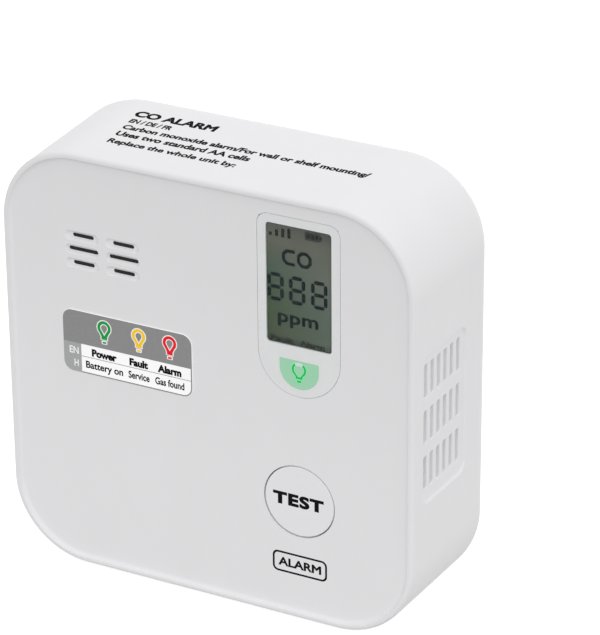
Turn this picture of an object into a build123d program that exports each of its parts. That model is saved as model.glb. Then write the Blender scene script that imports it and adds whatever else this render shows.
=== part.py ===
from build123d import *

import os

# Square carbon monoxide alarm: display, test button, side vents and a rear battery compartment.
#
# Frame: X to the right seen from the front, Y from the front to the back, Z up, in millimetres.
# The origin is the middle of the case's footprint, at its lowest edge.
# Sizes are given as x and z from the middle of the front, and as a depth back from the front rim.

# ---- case ----
DEPTH = 36.0
FRONT_SIZE = 98.1
REAR_SIZE = 100.3
FRONT_CORNER = 18.1
REAR_CORNER = 19.0
FRONT_EDGE = 0.8
REAR_EDGE = 6.0
WALL = 2.2
PARTING = 33.0
PARTING_GAP = 0.1
MID_Z = 50.0
FRONT_Y = -DEPTH / 2
TOUCH = 0.02

# ---- front face, dished inside a raised rim ----
RIM = 1.2
DISH = 0.8
DISH_SLOPE = 0.4
DISH_RADIUS = 0.9
INSIDE = DISH + WALL

# ---- sounder slots ----
SOUND_X, SOUND_Z = -24.9, 26.58
SOUND_GROUPS = (-4.95, 4.95)
SOUND_PITCH = 3.2
SOUND_SLOT = (7.1, 0.87)
SOUND_SLOT_OUTER = 5.15
SOUND_FLARE = (8.3, 2.3)
SOUND_FLARE_DEPTH = 0.7
SOUND_SKIN = 0.82
SOUNDER_RADIUS = 12.0
SOUND_POCKET = SOUNDER_RADIUS + 0.2

# ---- display and lamp window ----
DISPLAY_X, DISPLAY_Z = 22.16, 28.95
DISPLAY_VIEW = (15.25, 27.1)
DISPLAY_CORNER = 0.8
OVERLAY_HALF = 9.7
OVERLAY_TOP, OVERLAY_ARC_Z = 44.5, 13.5
OVERLAY_CORNER = 2.6
OVERLAY_THICK = 0.4
OVERLAY_GAP = 0.1
LAMP_HALF = 4.62
LAMP_TOP, LAMP_ARC_Z = 12.25, 10.28
LAMP_LEDGE = 0.3
LAMP_SPACING = 2.8
LAMP_Z = LAMP_ARC_Z - 0.9
GLASS = (18.2, 29.2)
GLASS_GAP = 0.15
GLASS_THICK = 0.75
GLASS_LEDGE = 2.4
FILM_THICK = 0.18
FILM_INSET = 0.3
BACKLIGHT_THICK = 2.6

# ---- test button ----
BUTTON_X, BUTTON_Z = 21.92, -21.0
BUTTON_RADIUS = 8.23
BUTTON_GAP = 0.28
BUTTON_FLANGE = 9.6
BUTTON_STEM = 2.2
BUTTON_SKIRT, BUTTON_SKIRT_TALL = 1.2, 1.6
BUTTON_TRAVEL = 0.8
SWITCH_TRAVEL = 0.25
PLUNGER_RADIUS = 1.75
BUTTON_COIL = (4.5, 5.2, 0.5)  # turns, radius and wire

# ---- labels ----
LEGEND_X, LEGEND_Z = -19.38, 5.07
LEGEND = (31.85, 14.65)
LEGEND_CORNER = 2.4
RATING_Z = 27.0
RATING = (34.0, 17.0)
RATING_CORNER = 1.5
RATING_SEAT = 0.25
STICKER_THICK = 0.15

# ---- right-hand vents ----
VENT_DEPTH, VENT_Z = 13.45, 0.62
VENT_PITCH = (2.87, 10.65)
VENT_COUNT = (6, 3)
VENT_SLOT = (1.5, 7.5)
VENT_SLOT_CORNER = 0.4
VENT_MOUTH = 0.2
VENT_PANEL_DEPTH, VENT_PANEL_Z = 14.0, -0.05
VENT_PANEL = (19.3, 34.5)
VENT_PANEL_CORNER = 2.5
VENT_PANEL_DROP = 0.45
VENT_GRILLE = 1.3
VENT_POCKET = (18.2, 34.4)
MEMBRANE = (17.8, 34.0)
MEMBRANE_THICK = 0.5

# ---- circuit board ----
BOARD = 88.0
BOARD_CORNER = 15.0
BOARD_FRONT = 11.0
BOARD_THICK = 1.6
BOARD_BACK = BOARD_FRONT + BOARD_THICK
BOARD_SCREWS = ((2.0, 37.0), (-38.0, 4.0), (-20.0, -37.0), (37.0, -27.0))
BOARD_BOSS = 2.6
BOARD_PILOT = 0.95
BOARD_SHANK = 1.1
SENSOR_X, SENSOR_Z = 32.5, 1.2
SENSOR_RADIUS = 10.0
SENSOR_START = BOARD_BACK + 0.8
SENSOR_LENGTH = 12.0

# ---- parts on the board ----
LAMP_BODY = (2.2, 3.0)
LAMP_TALL = 1.3
LAMP_LENS, LAMP_LENS_TALL = 0.9, 0.5
SWITCH_SIZE = 6.0
SWITCH_LEGS = 4.4
LEG_RADIUS = 0.4
LEG_HOLE = 0.5
SOUNDER_PINS = 10.0
SOUNDER_PIN_RADIUS = 0.35
SOUNDER_PORT = 2.5
SOUNDER_FACE = 1.0
SOUNDER_BORE = SOUNDER_RADIUS - 1.2
SOUNDER_BORE_DEPTH = 4.0
DISC_THICK = 0.3
MESH_THICK = 0.16
SENSOR_PINS = 6.0
SENSOR_PIN_RADIUS, SENSOR_PIN_HOLE = 0.75, 0.9
SENSOR_CAP, SENSOR_CAP_TALL = 7.5, 2.0
SENSOR_PORT, FILTER_TALL = 3.0, 1.2
PIN_END = 1.2
RADIO_X, RADIO_Z = -30.0, -15.0
RADIO_BOARD = (18.0, 25.0)
RADIO_BOARD_THICK = 0.8
SHIELD_Z = -12.0
SHIELD = (15.0, 14.0)
SHIELD_TALL = 2.2
CHIP_X, CHIP_Z = -3.0, 26.0
CHIP, CHIP_TALL = 10.0, 1.4
CAPACITOR_Z, CAPACITOR_PITCH = 12.0, 8.0
CAPACITOR_RADIUS, CAPACITOR_TALL = 3.15, 7.0
COIL_X, COIL_Z = 14.0, 22.0
COIL_RADIUS, COIL_CORE, COIL_TALL, COIL_FLANGE = 4.0, 3.1, 7.0, 1.3
BOARD_HEAD = 2.2
BOARD_SCREW_LENGTH = 6.6

# ---- case screws and rear cover ----
CASE_SCREW = 38.2
CASE_SCREWS = tuple((x, z) for x in (-CASE_SCREW, CASE_SCREW) for z in (-CASE_SCREW, CASE_SCREW))
CASE_BOSS = 3.3
CASE_PILOT = 1.15
CASE_SHANK = 1.4
CASE_SCREW_LENGTH = 12.0
BOSS_END = 30.9
HEAD_SEAT = 33.6
HEAD_RADIUS = 2.7
LIP = 1.2
LIP_GAP = 0.15
LIP_START = 30.2
KEYHOLE_X, KEYHOLE_Z = 30.0, 22.0
KEYHOLE_ENTRY = 4.2
KEYHOLE_SLOT = 2.6
KEYHOLE_RUN = 6.5
KEYHOLE_WALL = 1.7
KEYHOLE_FLOOR = 28.0
KEYHOLE_PLATE = 1.8

# ---- battery compartment and door ----
TRAY_X, TRAY_Z = -12.0, -14.0
TRAY = (57.0, 30.6)
TRAY_WALL = 1.5
TRAY_FLOOR = 18.6
TRAY_CORNER = 0.8
CELL_RADIUS = 7.1
CELL_LENGTH = 49.2
NUB_RADIUS, NUB_LENGTH = 2.7, 1.3
CELL_DEPTH = 26.3
CELL_PITCH = 15.0
CONTACT_THICK = 0.4
CONTACT = 11.0
CONTACT_TAIL = 2.4
CELL_COIL = (3.5, 3.4, 0.6)  # turns, radius and wire
DOOR_LEDGE = 2.2
DOOR_GAP = 0.15
DOOR_THICK = 2.0
DOOR_CORNER = 2.0
KNUCKLE = 1.2
HINGE_PIN = 0.7
HINGE_PIN_LENGTH = 1.5
HINGE_CLEARANCE = 0.1
TONGUE_X = 8.0
TONGUE_LENGTH = 8.0

# ---- worked-out places ----
DOOR = (TRAY[0] + 2 * DOOR_LEDGE, TRAY[1] + 2 * DOOR_LEDGE)
DOOR_FOOT = TRAY_Z - DOOR[1] / 2
HINGE_Z = TRAY_Z + DOOR[1] / 2 - KNUCKLE
HINGE_DEPTH = DEPTH - KNUCKLE
CELL_LEFT = TRAY_X - TRAY[0] / 2
CELL_RIGHT = TRAY_X + TRAY[0] / 2
UPPER_CELL = TRAY_Z + CELL_PITCH / 2
LOWER_CELL = TRAY_Z - CELL_PITCH / 2
CELL_SPRING = TRAY[0] - 2 * CONTACT_THICK - CELL_LENGTH - NUB_LENGTH - 5 * TOUCH
FRONT_FILM = DISH + OVERLAY_THICK + 0.05
FRONT_GLASS = FRONT_FILM + FILM_THICK
REAR_GLASS = FRONT_GLASS + GLASS_THICK
REAR_FILM = REAR_GLASS + GLASS_THICK
BACKLIGHT = REAR_FILM + FILM_THICK
SWITCH_TOP = BOARD_FRONT - 3.5
PLUNGER_TIP = SWITCH_TOP - 0.8
FLANGE_BACK = INSIDE + 0.92
STEM_END = PLUNGER_TIP - (BUTTON_TRAVEL - SWITCH_TRAVEL) - TOUCH
SOUND_SEAT = DISH + SOUND_SKIN
GASKET_DEPTH = SOUND_SEAT + MESH_THICK + 2 * TOUCH
SOUNDER_FRONT = INSIDE + 1.2
DISC_DEPTH = SOUNDER_FRONT + 3.4
GRILLE_BACK = VENT_PANEL_DROP + VENT_GRILLE

os.makedirs("parts", exist_ok=True)


# ---- shared helpers ----
def save(piece, label):
    """Labels a finished piece and writes its STEP file."""
    piece.part.label = label
    export_step(piece.part, f"parts/{label}.step")


def front_plane(depth, x=0.0, z=0.0):
    """A plane parallel to the front; a negative extrusion goes towards the back."""
    return Plane(origin=(x, FRONT_Y + depth, MID_Z + z), x_dir=(1, 0, 0), z_dir=(0, -1, 0))


def side_plane(x, depth, z):
    """A plane that faces +X; its local x runs towards the back and its local y up."""
    return Plane(origin=(x, FRONT_Y + depth, MID_Z + z), x_dir=(0, 1, 0), z_dir=(1, 0, 0))


def wall_plane(depth, z):
    """A plane on the drafted right wall; its local x runs towards the back and its local y up."""
    lean = (REAR_SIZE - FRONT_SIZE) / 2 / DEPTH
    spot = (FRONT_SIZE / 2 + lean * depth, FRONT_Y + depth, MID_Z + z)
    return Plane(origin=spot, x_dir=(lean, 1, 0), z_dir=(1, -lean, 0))


def outline(depth, inset):
    """Width, height and corner radius of the drafted case at a depth, drawn in by an inset."""
    share = depth / DEPTH
    size = FRONT_SIZE + (REAR_SIZE - FRONT_SIZE) * share - 2 * inset
    corner = FRONT_CORNER + (REAR_CORNER - FRONT_CORNER) * share - inset
    return size, size, corner


def drafted_block(start, end, inset):
    """A block with the case's draft, between two depths."""
    with BuildPart() as block:
        for depth in (start, end):
            with BuildSketch(front_plane(depth)):
                RectangleRounded(*outline(depth, inset))
        loft(ruled=True)
    return block.part


def arched_panel(half, top, arc_z, corner):
    """A panel with rounded upper corners and a half-round foot about (0, arc_z)."""
    with BuildSketch() as panel:
        with BuildLine():
            FilletPolyline((half, arc_z), (half, top), (-half, top), (-half, arc_z), radius=corner)
            ThreePointArc((-half, arc_z), (0, arc_z - half), (half, arc_z))
        make_face()
    return panel.sketch


def door_panel(gap):
    """The battery door's outline, square at the hinge, grown by a gap."""
    width, height = DOOR[0] + 2 * gap, DOOR[1] + 2 * gap
    with BuildSketch() as panel:
        RectangleRounded(width, height, DOOR_CORNER + gap)
        with Locations((0, height / 4)):
            Rectangle(width, height / 2)
    return panel.sketch


def coil(turns, radius, wire, start, length, along):
    """A coil spring between two faces, which it just clears."""
    height = length - wire - 2 * TOUCH
    first = start + along * (wire / 2 + TOUCH)
    with BuildPart() as spring:
        with BuildLine() as line:
            Helix(pitch=height / turns, height=height, radius=radius, center=first, direction=along)
        with BuildSketch(Plane(origin=line.line @ 0, z_dir=line.line % 0)):
            Circle(wire / 2)
        sweep(is_frenet=True)
    return spring


def screw_set(places, seat, head, shank, length):
    """Pan-head screws whose heads bear at the seat depth and whose points face the front."""
    with BuildPart() as screws:
        with BuildSketch(front_plane(seat)):
            with Locations(*places):
                Circle(head)
        extrude(amount=-0.62 * head)
        fillet(screws.edges().group_by(Axis.Y)[-1], 0.3 * head)
        with BuildSketch(front_plane(seat)):
            with Locations(*places):
                Circle(shank)
        extrude(amount=length)
        with BuildSketch(front_plane(seat + 0.62 * head)):
            with Locations(*places):
                Rectangle(1.15 * head, 0.26 * head)
                Rectangle(0.26 * head, 1.15 * head)
        extrude(amount=0.4 * head, mode=Mode.SUBTRACT)
    return screws


# ---- outer shape of the whole case ----
with BuildPart() as case_block:
    add(drafted_block(0, DEPTH, 0))
    fillet(case_block.edges().group_by(Axis.Y)[0], FRONT_EDGE)
    fillet(case_block.edges().group_by(Axis.Y)[-1], REAR_EDGE)

# ---- cutter for the dished face, with a soft concave edge ----
with BuildPart() as dish:
    with BuildSketch(front_plane(0)):
        RectangleRounded(*outline(0, RIM))
    with BuildSketch(front_plane(DISH)):
        RectangleRounded(*outline(0, RIM + DISH_SLOPE))
    loft(ruled=True)
    fillet(dish.edges().group_by(Axis.Y)[-1], DISH_RADIUS)

# ---- cutter for the sounder slots, which flare outwards from a thin skin over a round pocket ----
with BuildPart() as sound_cut:
    for group in SOUND_GROUPS:
        for row in (-1, 0, 1):
            place = (SOUND_X + group, SOUND_Z + row * SOUND_PITCH)
            with BuildSketch(front_plane(DISH, *place)):
                SlotOverall(*SOUND_FLARE)
            with BuildSketch(front_plane(DISH + SOUND_FLARE_DEPTH, *place)):
                SlotOverall(*SOUND_SLOT)
            loft(ruled=True)
            with BuildSketch(front_plane(DISH, *place)):
                SlotOverall(SOUND_SLOT_OUTER if row else SOUND_SLOT[0], SOUND_SLOT[1])
            extrude(amount=-WALL)
    with BuildSketch(front_plane(SOUND_SEAT, SOUND_X, SOUND_Z)):
        Circle(SOUND_POCKET)
    extrude(amount=SOUND_SEAT - INSIDE)

# ---- cutter for the overlay's pocket, the display and the lamp window ----
with BuildPart() as display_cut:
    with BuildSketch(front_plane(0, DISPLAY_X)):
        add(arched_panel(OVERLAY_HALF, OVERLAY_TOP, OVERLAY_ARC_Z, OVERLAY_CORNER))
    extrude(amount=-DISH - OVERLAY_THICK)
    with BuildSketch(front_plane(0, DISPLAY_X, DISPLAY_Z)):
        Rectangle(GLASS[0] + 2 * GLASS_GAP, GLASS[1] + 2 * GLASS_GAP)
    extrude(amount=-INSIDE)
    with BuildSketch(front_plane(0, DISPLAY_X)):
        add(arched_panel(LAMP_HALF - LAMP_LEDGE, LAMP_TOP - LAMP_LEDGE, LAMP_ARC_Z, 0.3))
    extrude(amount=-INSIDE)

# ---- cutter for the vents: a sunk panel with sloped sides, crossed by upright slots with flared mouths ----
panel_width, panel_height = (side - 2 * VENT_PANEL_DROP for side in VENT_PANEL)
with BuildPart() as vent_cut:
    with BuildSketch(wall_plane(VENT_PANEL_DEPTH, VENT_PANEL_Z).offset(-VENT_PANEL_DROP)):
        RectangleRounded(panel_width, panel_height, VENT_PANEL_CORNER - VENT_PANEL_DROP)
    extrude(amount=2 * VENT_PANEL_DROP, taper=-45)
    with BuildSketch(wall_plane(VENT_DEPTH, VENT_Z).offset(-VENT_PANEL_DROP - VENT_MOUTH)):
        with GridLocations(*VENT_PITCH, *VENT_COUNT):
            RectangleRounded(*VENT_SLOT, VENT_SLOT_CORNER)
    extrude(amount=VENT_MOUTH + 0.1, taper=-45)
    with BuildSketch(wall_plane(VENT_DEPTH, VENT_Z)):
        with GridLocations(*VENT_PITCH, *VENT_COUNT):
            RectangleRounded(*VENT_SLOT, VENT_SLOT_CORNER)
    extrude(amount=-5)

with BuildPart() as vent_pocket:
    with BuildSketch(side_plane(REAR_SIZE / 2 - 5, VENT_DEPTH, VENT_Z)):
        RectangleRounded(*VENT_POCKET, 1.1)
    extrude(amount=5)
    add(drafted_block(0, DEPTH, GRILLE_BACK), mode=Mode.INTERSECT)

# ---- front housing ----
with BuildPart() as front_housing:
    add(case_block.part)
    add(dish.part, mode=Mode.SUBTRACT)
    add(drafted_block(INSIDE, DEPTH, WALL), mode=Mode.SUBTRACT)
    with BuildSketch(front_plane(INSIDE)):
        with Locations(*CASE_SCREWS):
            Circle(CASE_BOSS)
    extrude(amount=INSIDE - BOSS_END)
    with BuildSketch(front_plane(BOSS_END)):
        with Locations(*CASE_SCREWS):
            Circle(CASE_PILOT)
    extrude(amount=CASE_SCREW_LENGTH + 3, mode=Mode.SUBTRACT)
    with BuildSketch(front_plane(INSIDE)):
        with Locations(*BOARD_SCREWS):
            Circle(BOARD_BOSS)
        with Locations((BUTTON_X, BUTTON_Z)):
            Circle(BUTTON_FLANGE + 1.45)
    extrude(amount=INSIDE - BOARD_FRONT)
    with BuildSketch(front_plane(BOARD_FRONT)):
        with Locations(*BOARD_SCREWS):
            Circle(BOARD_PILOT)
    extrude(amount=6, mode=Mode.SUBTRACT)
    with BuildSketch(front_plane(INSIDE, BUTTON_X, BUTTON_Z)):
        Circle(BUTTON_FLANGE + 0.25)
    extrude(amount=INSIDE - BOARD_FRONT, mode=Mode.SUBTRACT)
    with BuildSketch(front_plane(INSIDE + 3.2, BUTTON_X, BUTTON_Z)):
        Circle(BUTTON_FLANGE + 2)
    extrude(amount=INSIDE + 3.2 - BOARD_FRONT, mode=Mode.SUBTRACT)
    with BuildSketch(front_plane(0, BUTTON_X, BUTTON_Z)):
        Circle(BUTTON_RADIUS + BUTTON_GAP)
    extrude(amount=-INSIDE, mode=Mode.SUBTRACT)
    add(sound_cut.part, mode=Mode.SUBTRACT)
    add(display_cut.part, mode=Mode.SUBTRACT)
    add(vent_cut.part, mode=Mode.SUBTRACT)
    add(vent_pocket.part, mode=Mode.SUBTRACT)
    split(bisect_by=Plane.XZ.offset(-FRONT_Y - PARTING), keep=Keep.TOP)
save(front_housing, "front_housing")

# ---- what the rear cover stands on: locating lip, battery tray, screw and keyhole pads ----
with BuildPart() as cover_inside:
    add(drafted_block(LIP_START, PARTING + 1, WALL + LIP_GAP))
    add(drafted_block(LIP_START - 1, PARTING + 2, WALL + LIP_GAP + LIP), mode=Mode.SUBTRACT)
    with BuildSketch(front_plane(TRAY_FLOOR - TRAY_WALL, TRAY_X, TRAY_Z)):
        RectangleRounded(TRAY[0] + 2 * TRAY_WALL, TRAY[1] + 2 * TRAY_WALL, TRAY_CORNER + TRAY_WALL)
    extrude(amount=TRAY_FLOOR - TRAY_WALL - PARTING - 1)
    with BuildSketch(front_plane(PARTING - 2, TRAY_X, HINGE_Z)):
        Rectangle(DOOR[0] + 8, 5.0)
    extrude(amount=-3)
    with BuildSketch(front_plane(KEYHOLE_FLOOR, 0, KEYHOLE_Z + KEYHOLE_RUN / 2)):
        with GridLocations(2 * KEYHOLE_X, 1, 2, 1):
            SlotCenterToCenter(KEYHOLE_RUN, 2 * (KEYHOLE_ENTRY + KEYHOLE_WALL), rotation=90)
    extrude(amount=KEYHOLE_FLOOR - PARTING - 1)
    with BuildSketch(front_plane(BOSS_END + 0.05)):
        with Locations(*CASE_SCREWS):
            Circle(CASE_BOSS)
    extrude(amount=BOSS_END - PARTING - 1)

# ---- cutter for the door's rebate, hinge channel, pin sockets, latch relief and finger scoop ----
with BuildPart() as door_cut:
    with BuildSketch(front_plane(DEPTH, TRAY_X, TRAY_Z)):
        add(door_panel(DOOR_GAP))
    extrude(amount=DOOR_THICK + 0.05)
    half_width = DOOR[0] / 2 + DOOR_GAP
    with BuildSketch(side_plane(TRAY_X - half_width, HINGE_DEPTH, HINGE_Z)):
        Circle(KNUCKLE + DOOR_GAP)
    extrude(amount=2 * half_width)
    socket_reach = DOOR[0] / 2 + HINGE_PIN_LENGTH + HINGE_CLEARANCE
    with BuildSketch(side_plane(TRAY_X - socket_reach, HINGE_DEPTH, HINGE_Z)):
        Circle(HINGE_PIN + HINGE_CLEARANCE)
    extrude(amount=2 * socket_reach)
    with BuildSketch(front_plane(DEPTH, TRAY_X, DOOR_FOOT - DOOR_GAP)):
        Ellipse(9.0, 3.2)
    extrude(amount=1.2)

# ---- cutter for the two keyholes, each with a closed pocket behind it ----
with BuildPart() as keyhole_cut:
    with BuildSketch(front_plane(KEYHOLE_FLOOR + 1.2, 0, KEYHOLE_Z + KEYHOLE_RUN / 2)):
        with GridLocations(2 * KEYHOLE_X, 1, 2, 1):
            SlotCenterToCenter(KEYHOLE_RUN, 2 * KEYHOLE_ENTRY, rotation=90)
    extrude(amount=KEYHOLE_FLOOR + 1.2 - DEPTH + KEYHOLE_PLATE)
    with BuildSketch(front_plane(DEPTH, 0, KEYHOLE_Z)):
        with GridLocations(2 * KEYHOLE_X, 1, 2, 1):
            Circle(KEYHOLE_ENTRY)
        with Locations((-KEYHOLE_X, KEYHOLE_RUN / 2), (KEYHOLE_X, KEYHOLE_RUN / 2)):
            SlotCenterToCenter(KEYHOLE_RUN, 2 * KEYHOLE_SLOT, rotation=90)
    extrude(amount=DEPTH - PARTING + 1)

# ---- rear cover ----
with BuildPart() as rear_cover:
    add(case_block.part)
    split(bisect_by=Plane.XZ.offset(-FRONT_Y - PARTING - PARTING_GAP), keep=Keep.BOTTOM)
    add(cover_inside.part)
    with BuildSketch(front_plane(TRAY_FLOOR, TRAY_X, TRAY_Z)):
        RectangleRounded(*TRAY, TRAY_CORNER)
    extrude(amount=TRAY_FLOOR - DEPTH, mode=Mode.SUBTRACT)
    add(door_cut.part, mode=Mode.SUBTRACT)
    add(keyhole_cut.part, mode=Mode.SUBTRACT)
    with BuildSketch(front_plane(DEPTH)):
        with Locations(*CASE_SCREWS):
            Circle(HEAD_RADIUS + 0.4)
    extrude(amount=DEPTH - HEAD_SEAT, mode=Mode.SUBTRACT)
    with BuildSketch(front_plane(DEPTH)):
        with Locations(*CASE_SCREWS):
            Circle(CASE_SHANK + 0.3)
    extrude(amount=DEPTH - BOSS_END + 1, mode=Mode.SUBTRACT)
    with BuildSketch(front_plane(DEPTH, 0, RATING_Z)):
        RectangleRounded(RATING[0] + 0.4, RATING[1] + 0.4, RATING_CORNER + 0.2)
    extrude(amount=RATING_SEAT, mode=Mode.SUBTRACT)
    with BuildSketch(side_plane(CELL_RIGHT - 0.5, CELL_DEPTH, TRAY_Z)):
        with GridLocations(1, CELL_PITCH, 1, 2):
            Rectangle(CONTACT_THICK + 0.2, CONTACT_TAIL + 0.4)
    extrude(amount=TRAY_WALL + 1, mode=Mode.SUBTRACT)
save(rear_cover, "rear_cover")

# ---- battery door: plate, round hinge knuckle with two pins, spring tongue and grip lines ----
with BuildPart() as battery_door:
    with BuildSketch(front_plane(DEPTH, TRAY_X, TRAY_Z)):
        add(door_panel(0))
    extrude(amount=DOOR_THICK)
    with BuildSketch(front_plane(DEPTH, TRAY_X, HINGE_Z + KNUCKLE)):
        Rectangle(DOOR[0] + 2, 2 * KNUCKLE)
    extrude(amount=DOOR_THICK, mode=Mode.SUBTRACT)
    with BuildSketch(side_plane(TRAY_X - DOOR[0] / 2, HINGE_DEPTH, HINGE_Z)):
        Circle(KNUCKLE)
    extrude(amount=DOOR[0])
    with BuildSketch(side_plane(TRAY_X - DOOR[0] / 2 - HINGE_PIN_LENGTH, HINGE_DEPTH, HINGE_Z)):
        Circle(HINGE_PIN)
    extrude(amount=DOOR[0] + 2 * HINGE_PIN_LENGTH)
    with BuildSketch(front_plane(DEPTH, TRAY_X, DOOR_FOOT + TONGUE_LENGTH / 2)):
        with GridLocations(2 * TONGUE_X, 1, 2, 1):
            Rectangle(0.8, TONGUE_LENGTH)
    extrude(amount=DOOR_THICK, mode=Mode.SUBTRACT)
    with BuildSketch(front_plane(DEPTH - DOOR_THICK, TRAY_X, DOOR_FOOT + 3.0)):
        Rectangle(9.0, 1.2)
    extrude(amount=2.4)
    with BuildSketch(front_plane(DEPTH, TRAY_X, DOOR_FOOT + 3.5)):
        with GridLocations(1, 1.4, 1, 3):
            SlotOverall(9.0, 0.6)
    extrude(amount=0.35, mode=Mode.SUBTRACT)
save(battery_door, "battery_door")

# ---- display overlay: the white film around the display and the lamp window ----
with BuildPart() as display_overlay:
    with BuildSketch(front_plane(DISH, DISPLAY_X)):
        add(
            arched_panel(
                OVERLAY_HALF - OVERLAY_GAP,
                OVERLAY_TOP - OVERLAY_GAP,
                OVERLAY_ARC_Z,
                OVERLAY_CORNER - OVERLAY_GAP,
            )
        )
        with Locations((0, DISPLAY_Z)):
            RectangleRounded(*DISPLAY_VIEW, DISPLAY_CORNER, mode=Mode.SUBTRACT)
        add(arched_panel(LAMP_HALF, LAMP_TOP, LAMP_ARC_Z, 0.4), mode=Mode.SUBTRACT)
    extrude(amount=-OVERLAY_THICK)
save(display_overlay, "display_overlay")

# ---- display window: the clear pane in front of the display ----
with BuildPart() as display_window:
    with BuildSketch(front_plane(DISH + TOUCH, DISPLAY_X, DISPLAY_Z)):
        RectangleRounded(DISPLAY_VIEW[0] - 2 * TOUCH, DISPLAY_VIEW[1] - 2 * TOUCH, DISPLAY_CORNER)
    extrude(amount=-OVERLAY_THICK)
save(display_window, "display_window")

# ---- lamp window: the green half-round pane over the status lamps ----
with BuildPart() as lamp_window:
    with BuildSketch(front_plane(DISH + TOUCH, DISPLAY_X)):
        add(arched_panel(LAMP_HALF - TOUCH, LAMP_TOP - TOUCH, LAMP_ARC_Z, 0.4))
    extrude(amount=TOUCH - OVERLAY_THICK)
save(lamp_window, "lamp_window")

# ---- legend label for the three lamps ----
with BuildPart() as legend_label:
    with BuildSketch(front_plane(DISH - STICKER_THICK, LEGEND_X, LEGEND_Z)):
        RectangleRounded(*LEGEND, LEGEND_CORNER)
    extrude(amount=-STICKER_THICK)
save(legend_label, "legend_label")

# ---- blank rating label in its shallow seat on the rear cover ----
with BuildPart() as rating_label:
    with BuildSketch(front_plane(DEPTH - RATING_SEAT, 0, RATING_Z)):
        RectangleRounded(*RATING, RATING_CORNER)
    extrude(amount=-STICKER_THICK)
save(rating_label, "rating_label")

# ---- vent membrane: thin and white, glued behind the vents ----
with BuildPart() as vent_membrane:
    with BuildSketch(side_plane(REAR_SIZE / 2 - 6, VENT_DEPTH, VENT_Z)):
        RectangleRounded(*MEMBRANE, 1.0)
    extrude(amount=6)
    add(drafted_block(0, DEPTH, GRILLE_BACK + TOUCH), mode=Mode.INTERSECT)
    add(drafted_block(0, DEPTH, GRILLE_BACK + TOUCH + MEMBRANE_THICK), mode=Mode.SUBTRACT)
save(vent_membrane, "vent_membrane")

# ---- display stack: two glasses between two films, on a backlight ----
FRONT_SHEET = (*GLASS, 0)
REAR_SHEET = (GLASS[0], GLASS[1] - GLASS_LEDGE, GLASS_LEDGE / 2)
STACK = {
    "display_front_film": (FRONT_FILM, FILM_THICK, FILM_INSET, FRONT_SHEET),
    "display_front_glass": (FRONT_GLASS, GLASS_THICK, 0, FRONT_SHEET),
    "display_rear_glass": (REAR_GLASS, GLASS_THICK, 0, REAR_SHEET),
    "display_rear_film": (REAR_FILM, FILM_THICK, FILM_INSET, REAR_SHEET),
    "display_backlight": (BACKLIGHT, BACKLIGHT_THICK, 0, REAR_SHEET),
}
for layer_name, (start, thick, inset, (width, height, shift)) in STACK.items():
    with BuildPart() as layer:
        with BuildSketch(front_plane(start, DISPLAY_X, DISPLAY_Z + shift)):
            Rectangle(width - 2 * inset, height - 2 * inset)
        extrude(amount=-thick)
    save(layer, layer_name)

# ---- display frame: carries the stack on the board ----
with BuildPart() as display_frame:
    with BuildSketch(front_plane(INSIDE + TOUCH, DISPLAY_X, DISPLAY_Z)):
        RectangleRounded(GLASS[0] + 2.2, GLASS[1] + 1.6, 0.6)
        Rectangle(GLASS[0] + 0.1, GLASS[1] + 0.1, mode=Mode.SUBTRACT)
    extrude(amount=INSIDE - BOARD_FRONT + 2 * TOUCH)
    with BuildSketch(front_plane(BACKLIGHT + BACKLIGHT_THICK + TOUCH, DISPLAY_X, DISPLAY_Z + 1)):
        with GridLocations(GLASS[0] - 1.8, 1, 2, 1):
            Rectangle(2.0, GLASS[1] - 8)
    extrude(amount=-1.2)
save(display_frame, "display_frame")

# ---- connector strip: rubber, from the glass's contacts to the board ----
with BuildPart() as connector_strip:
    with BuildSketch(front_plane(REAR_GLASS, DISPLAY_X, DISPLAY_Z - GLASS[1] / 2 + GLASS_LEDGE / 2)):
        Rectangle(GLASS[0] - 1, GLASS_LEDGE - 0.6)
    extrude(amount=REAR_GLASS - BOARD_FRONT)
save(connector_strip, "display_connector_strip")

# ---- light guide between the lamps and their window ----
with BuildPart() as light_guide:
    with BuildSketch(front_plane(FRONT_FILM, DISPLAY_X)):
        add(arched_panel(LAMP_HALF - 0.5, LAMP_TOP - 0.5, LAMP_ARC_Z, 0.3))
    extrude(amount=FRONT_FILM - BOARD_FRONT + 2.2)
save(light_guide, "light_guide")

# ---- three lamps on the board ----
for lamp_name, side in (("power_lamp", -1), ("fault_lamp", 0), ("alarm_lamp", 1)):
    with BuildPart() as lamp:
        with BuildSketch(front_plane(BOARD_FRONT, DISPLAY_X + side * LAMP_SPACING, LAMP_Z)):
            Rectangle(*LAMP_BODY)
        extrude(amount=LAMP_TALL)
        with BuildSketch(front_plane(BOARD_FRONT - LAMP_TALL, DISPLAY_X + side * LAMP_SPACING, LAMP_Z)):
            Circle(LAMP_LENS)
        extrude(amount=LAMP_LENS_TALL)
        fillet(lamp.edges().group_by(Axis.Y)[0], 0.3)
    save(lamp, lamp_name)

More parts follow.
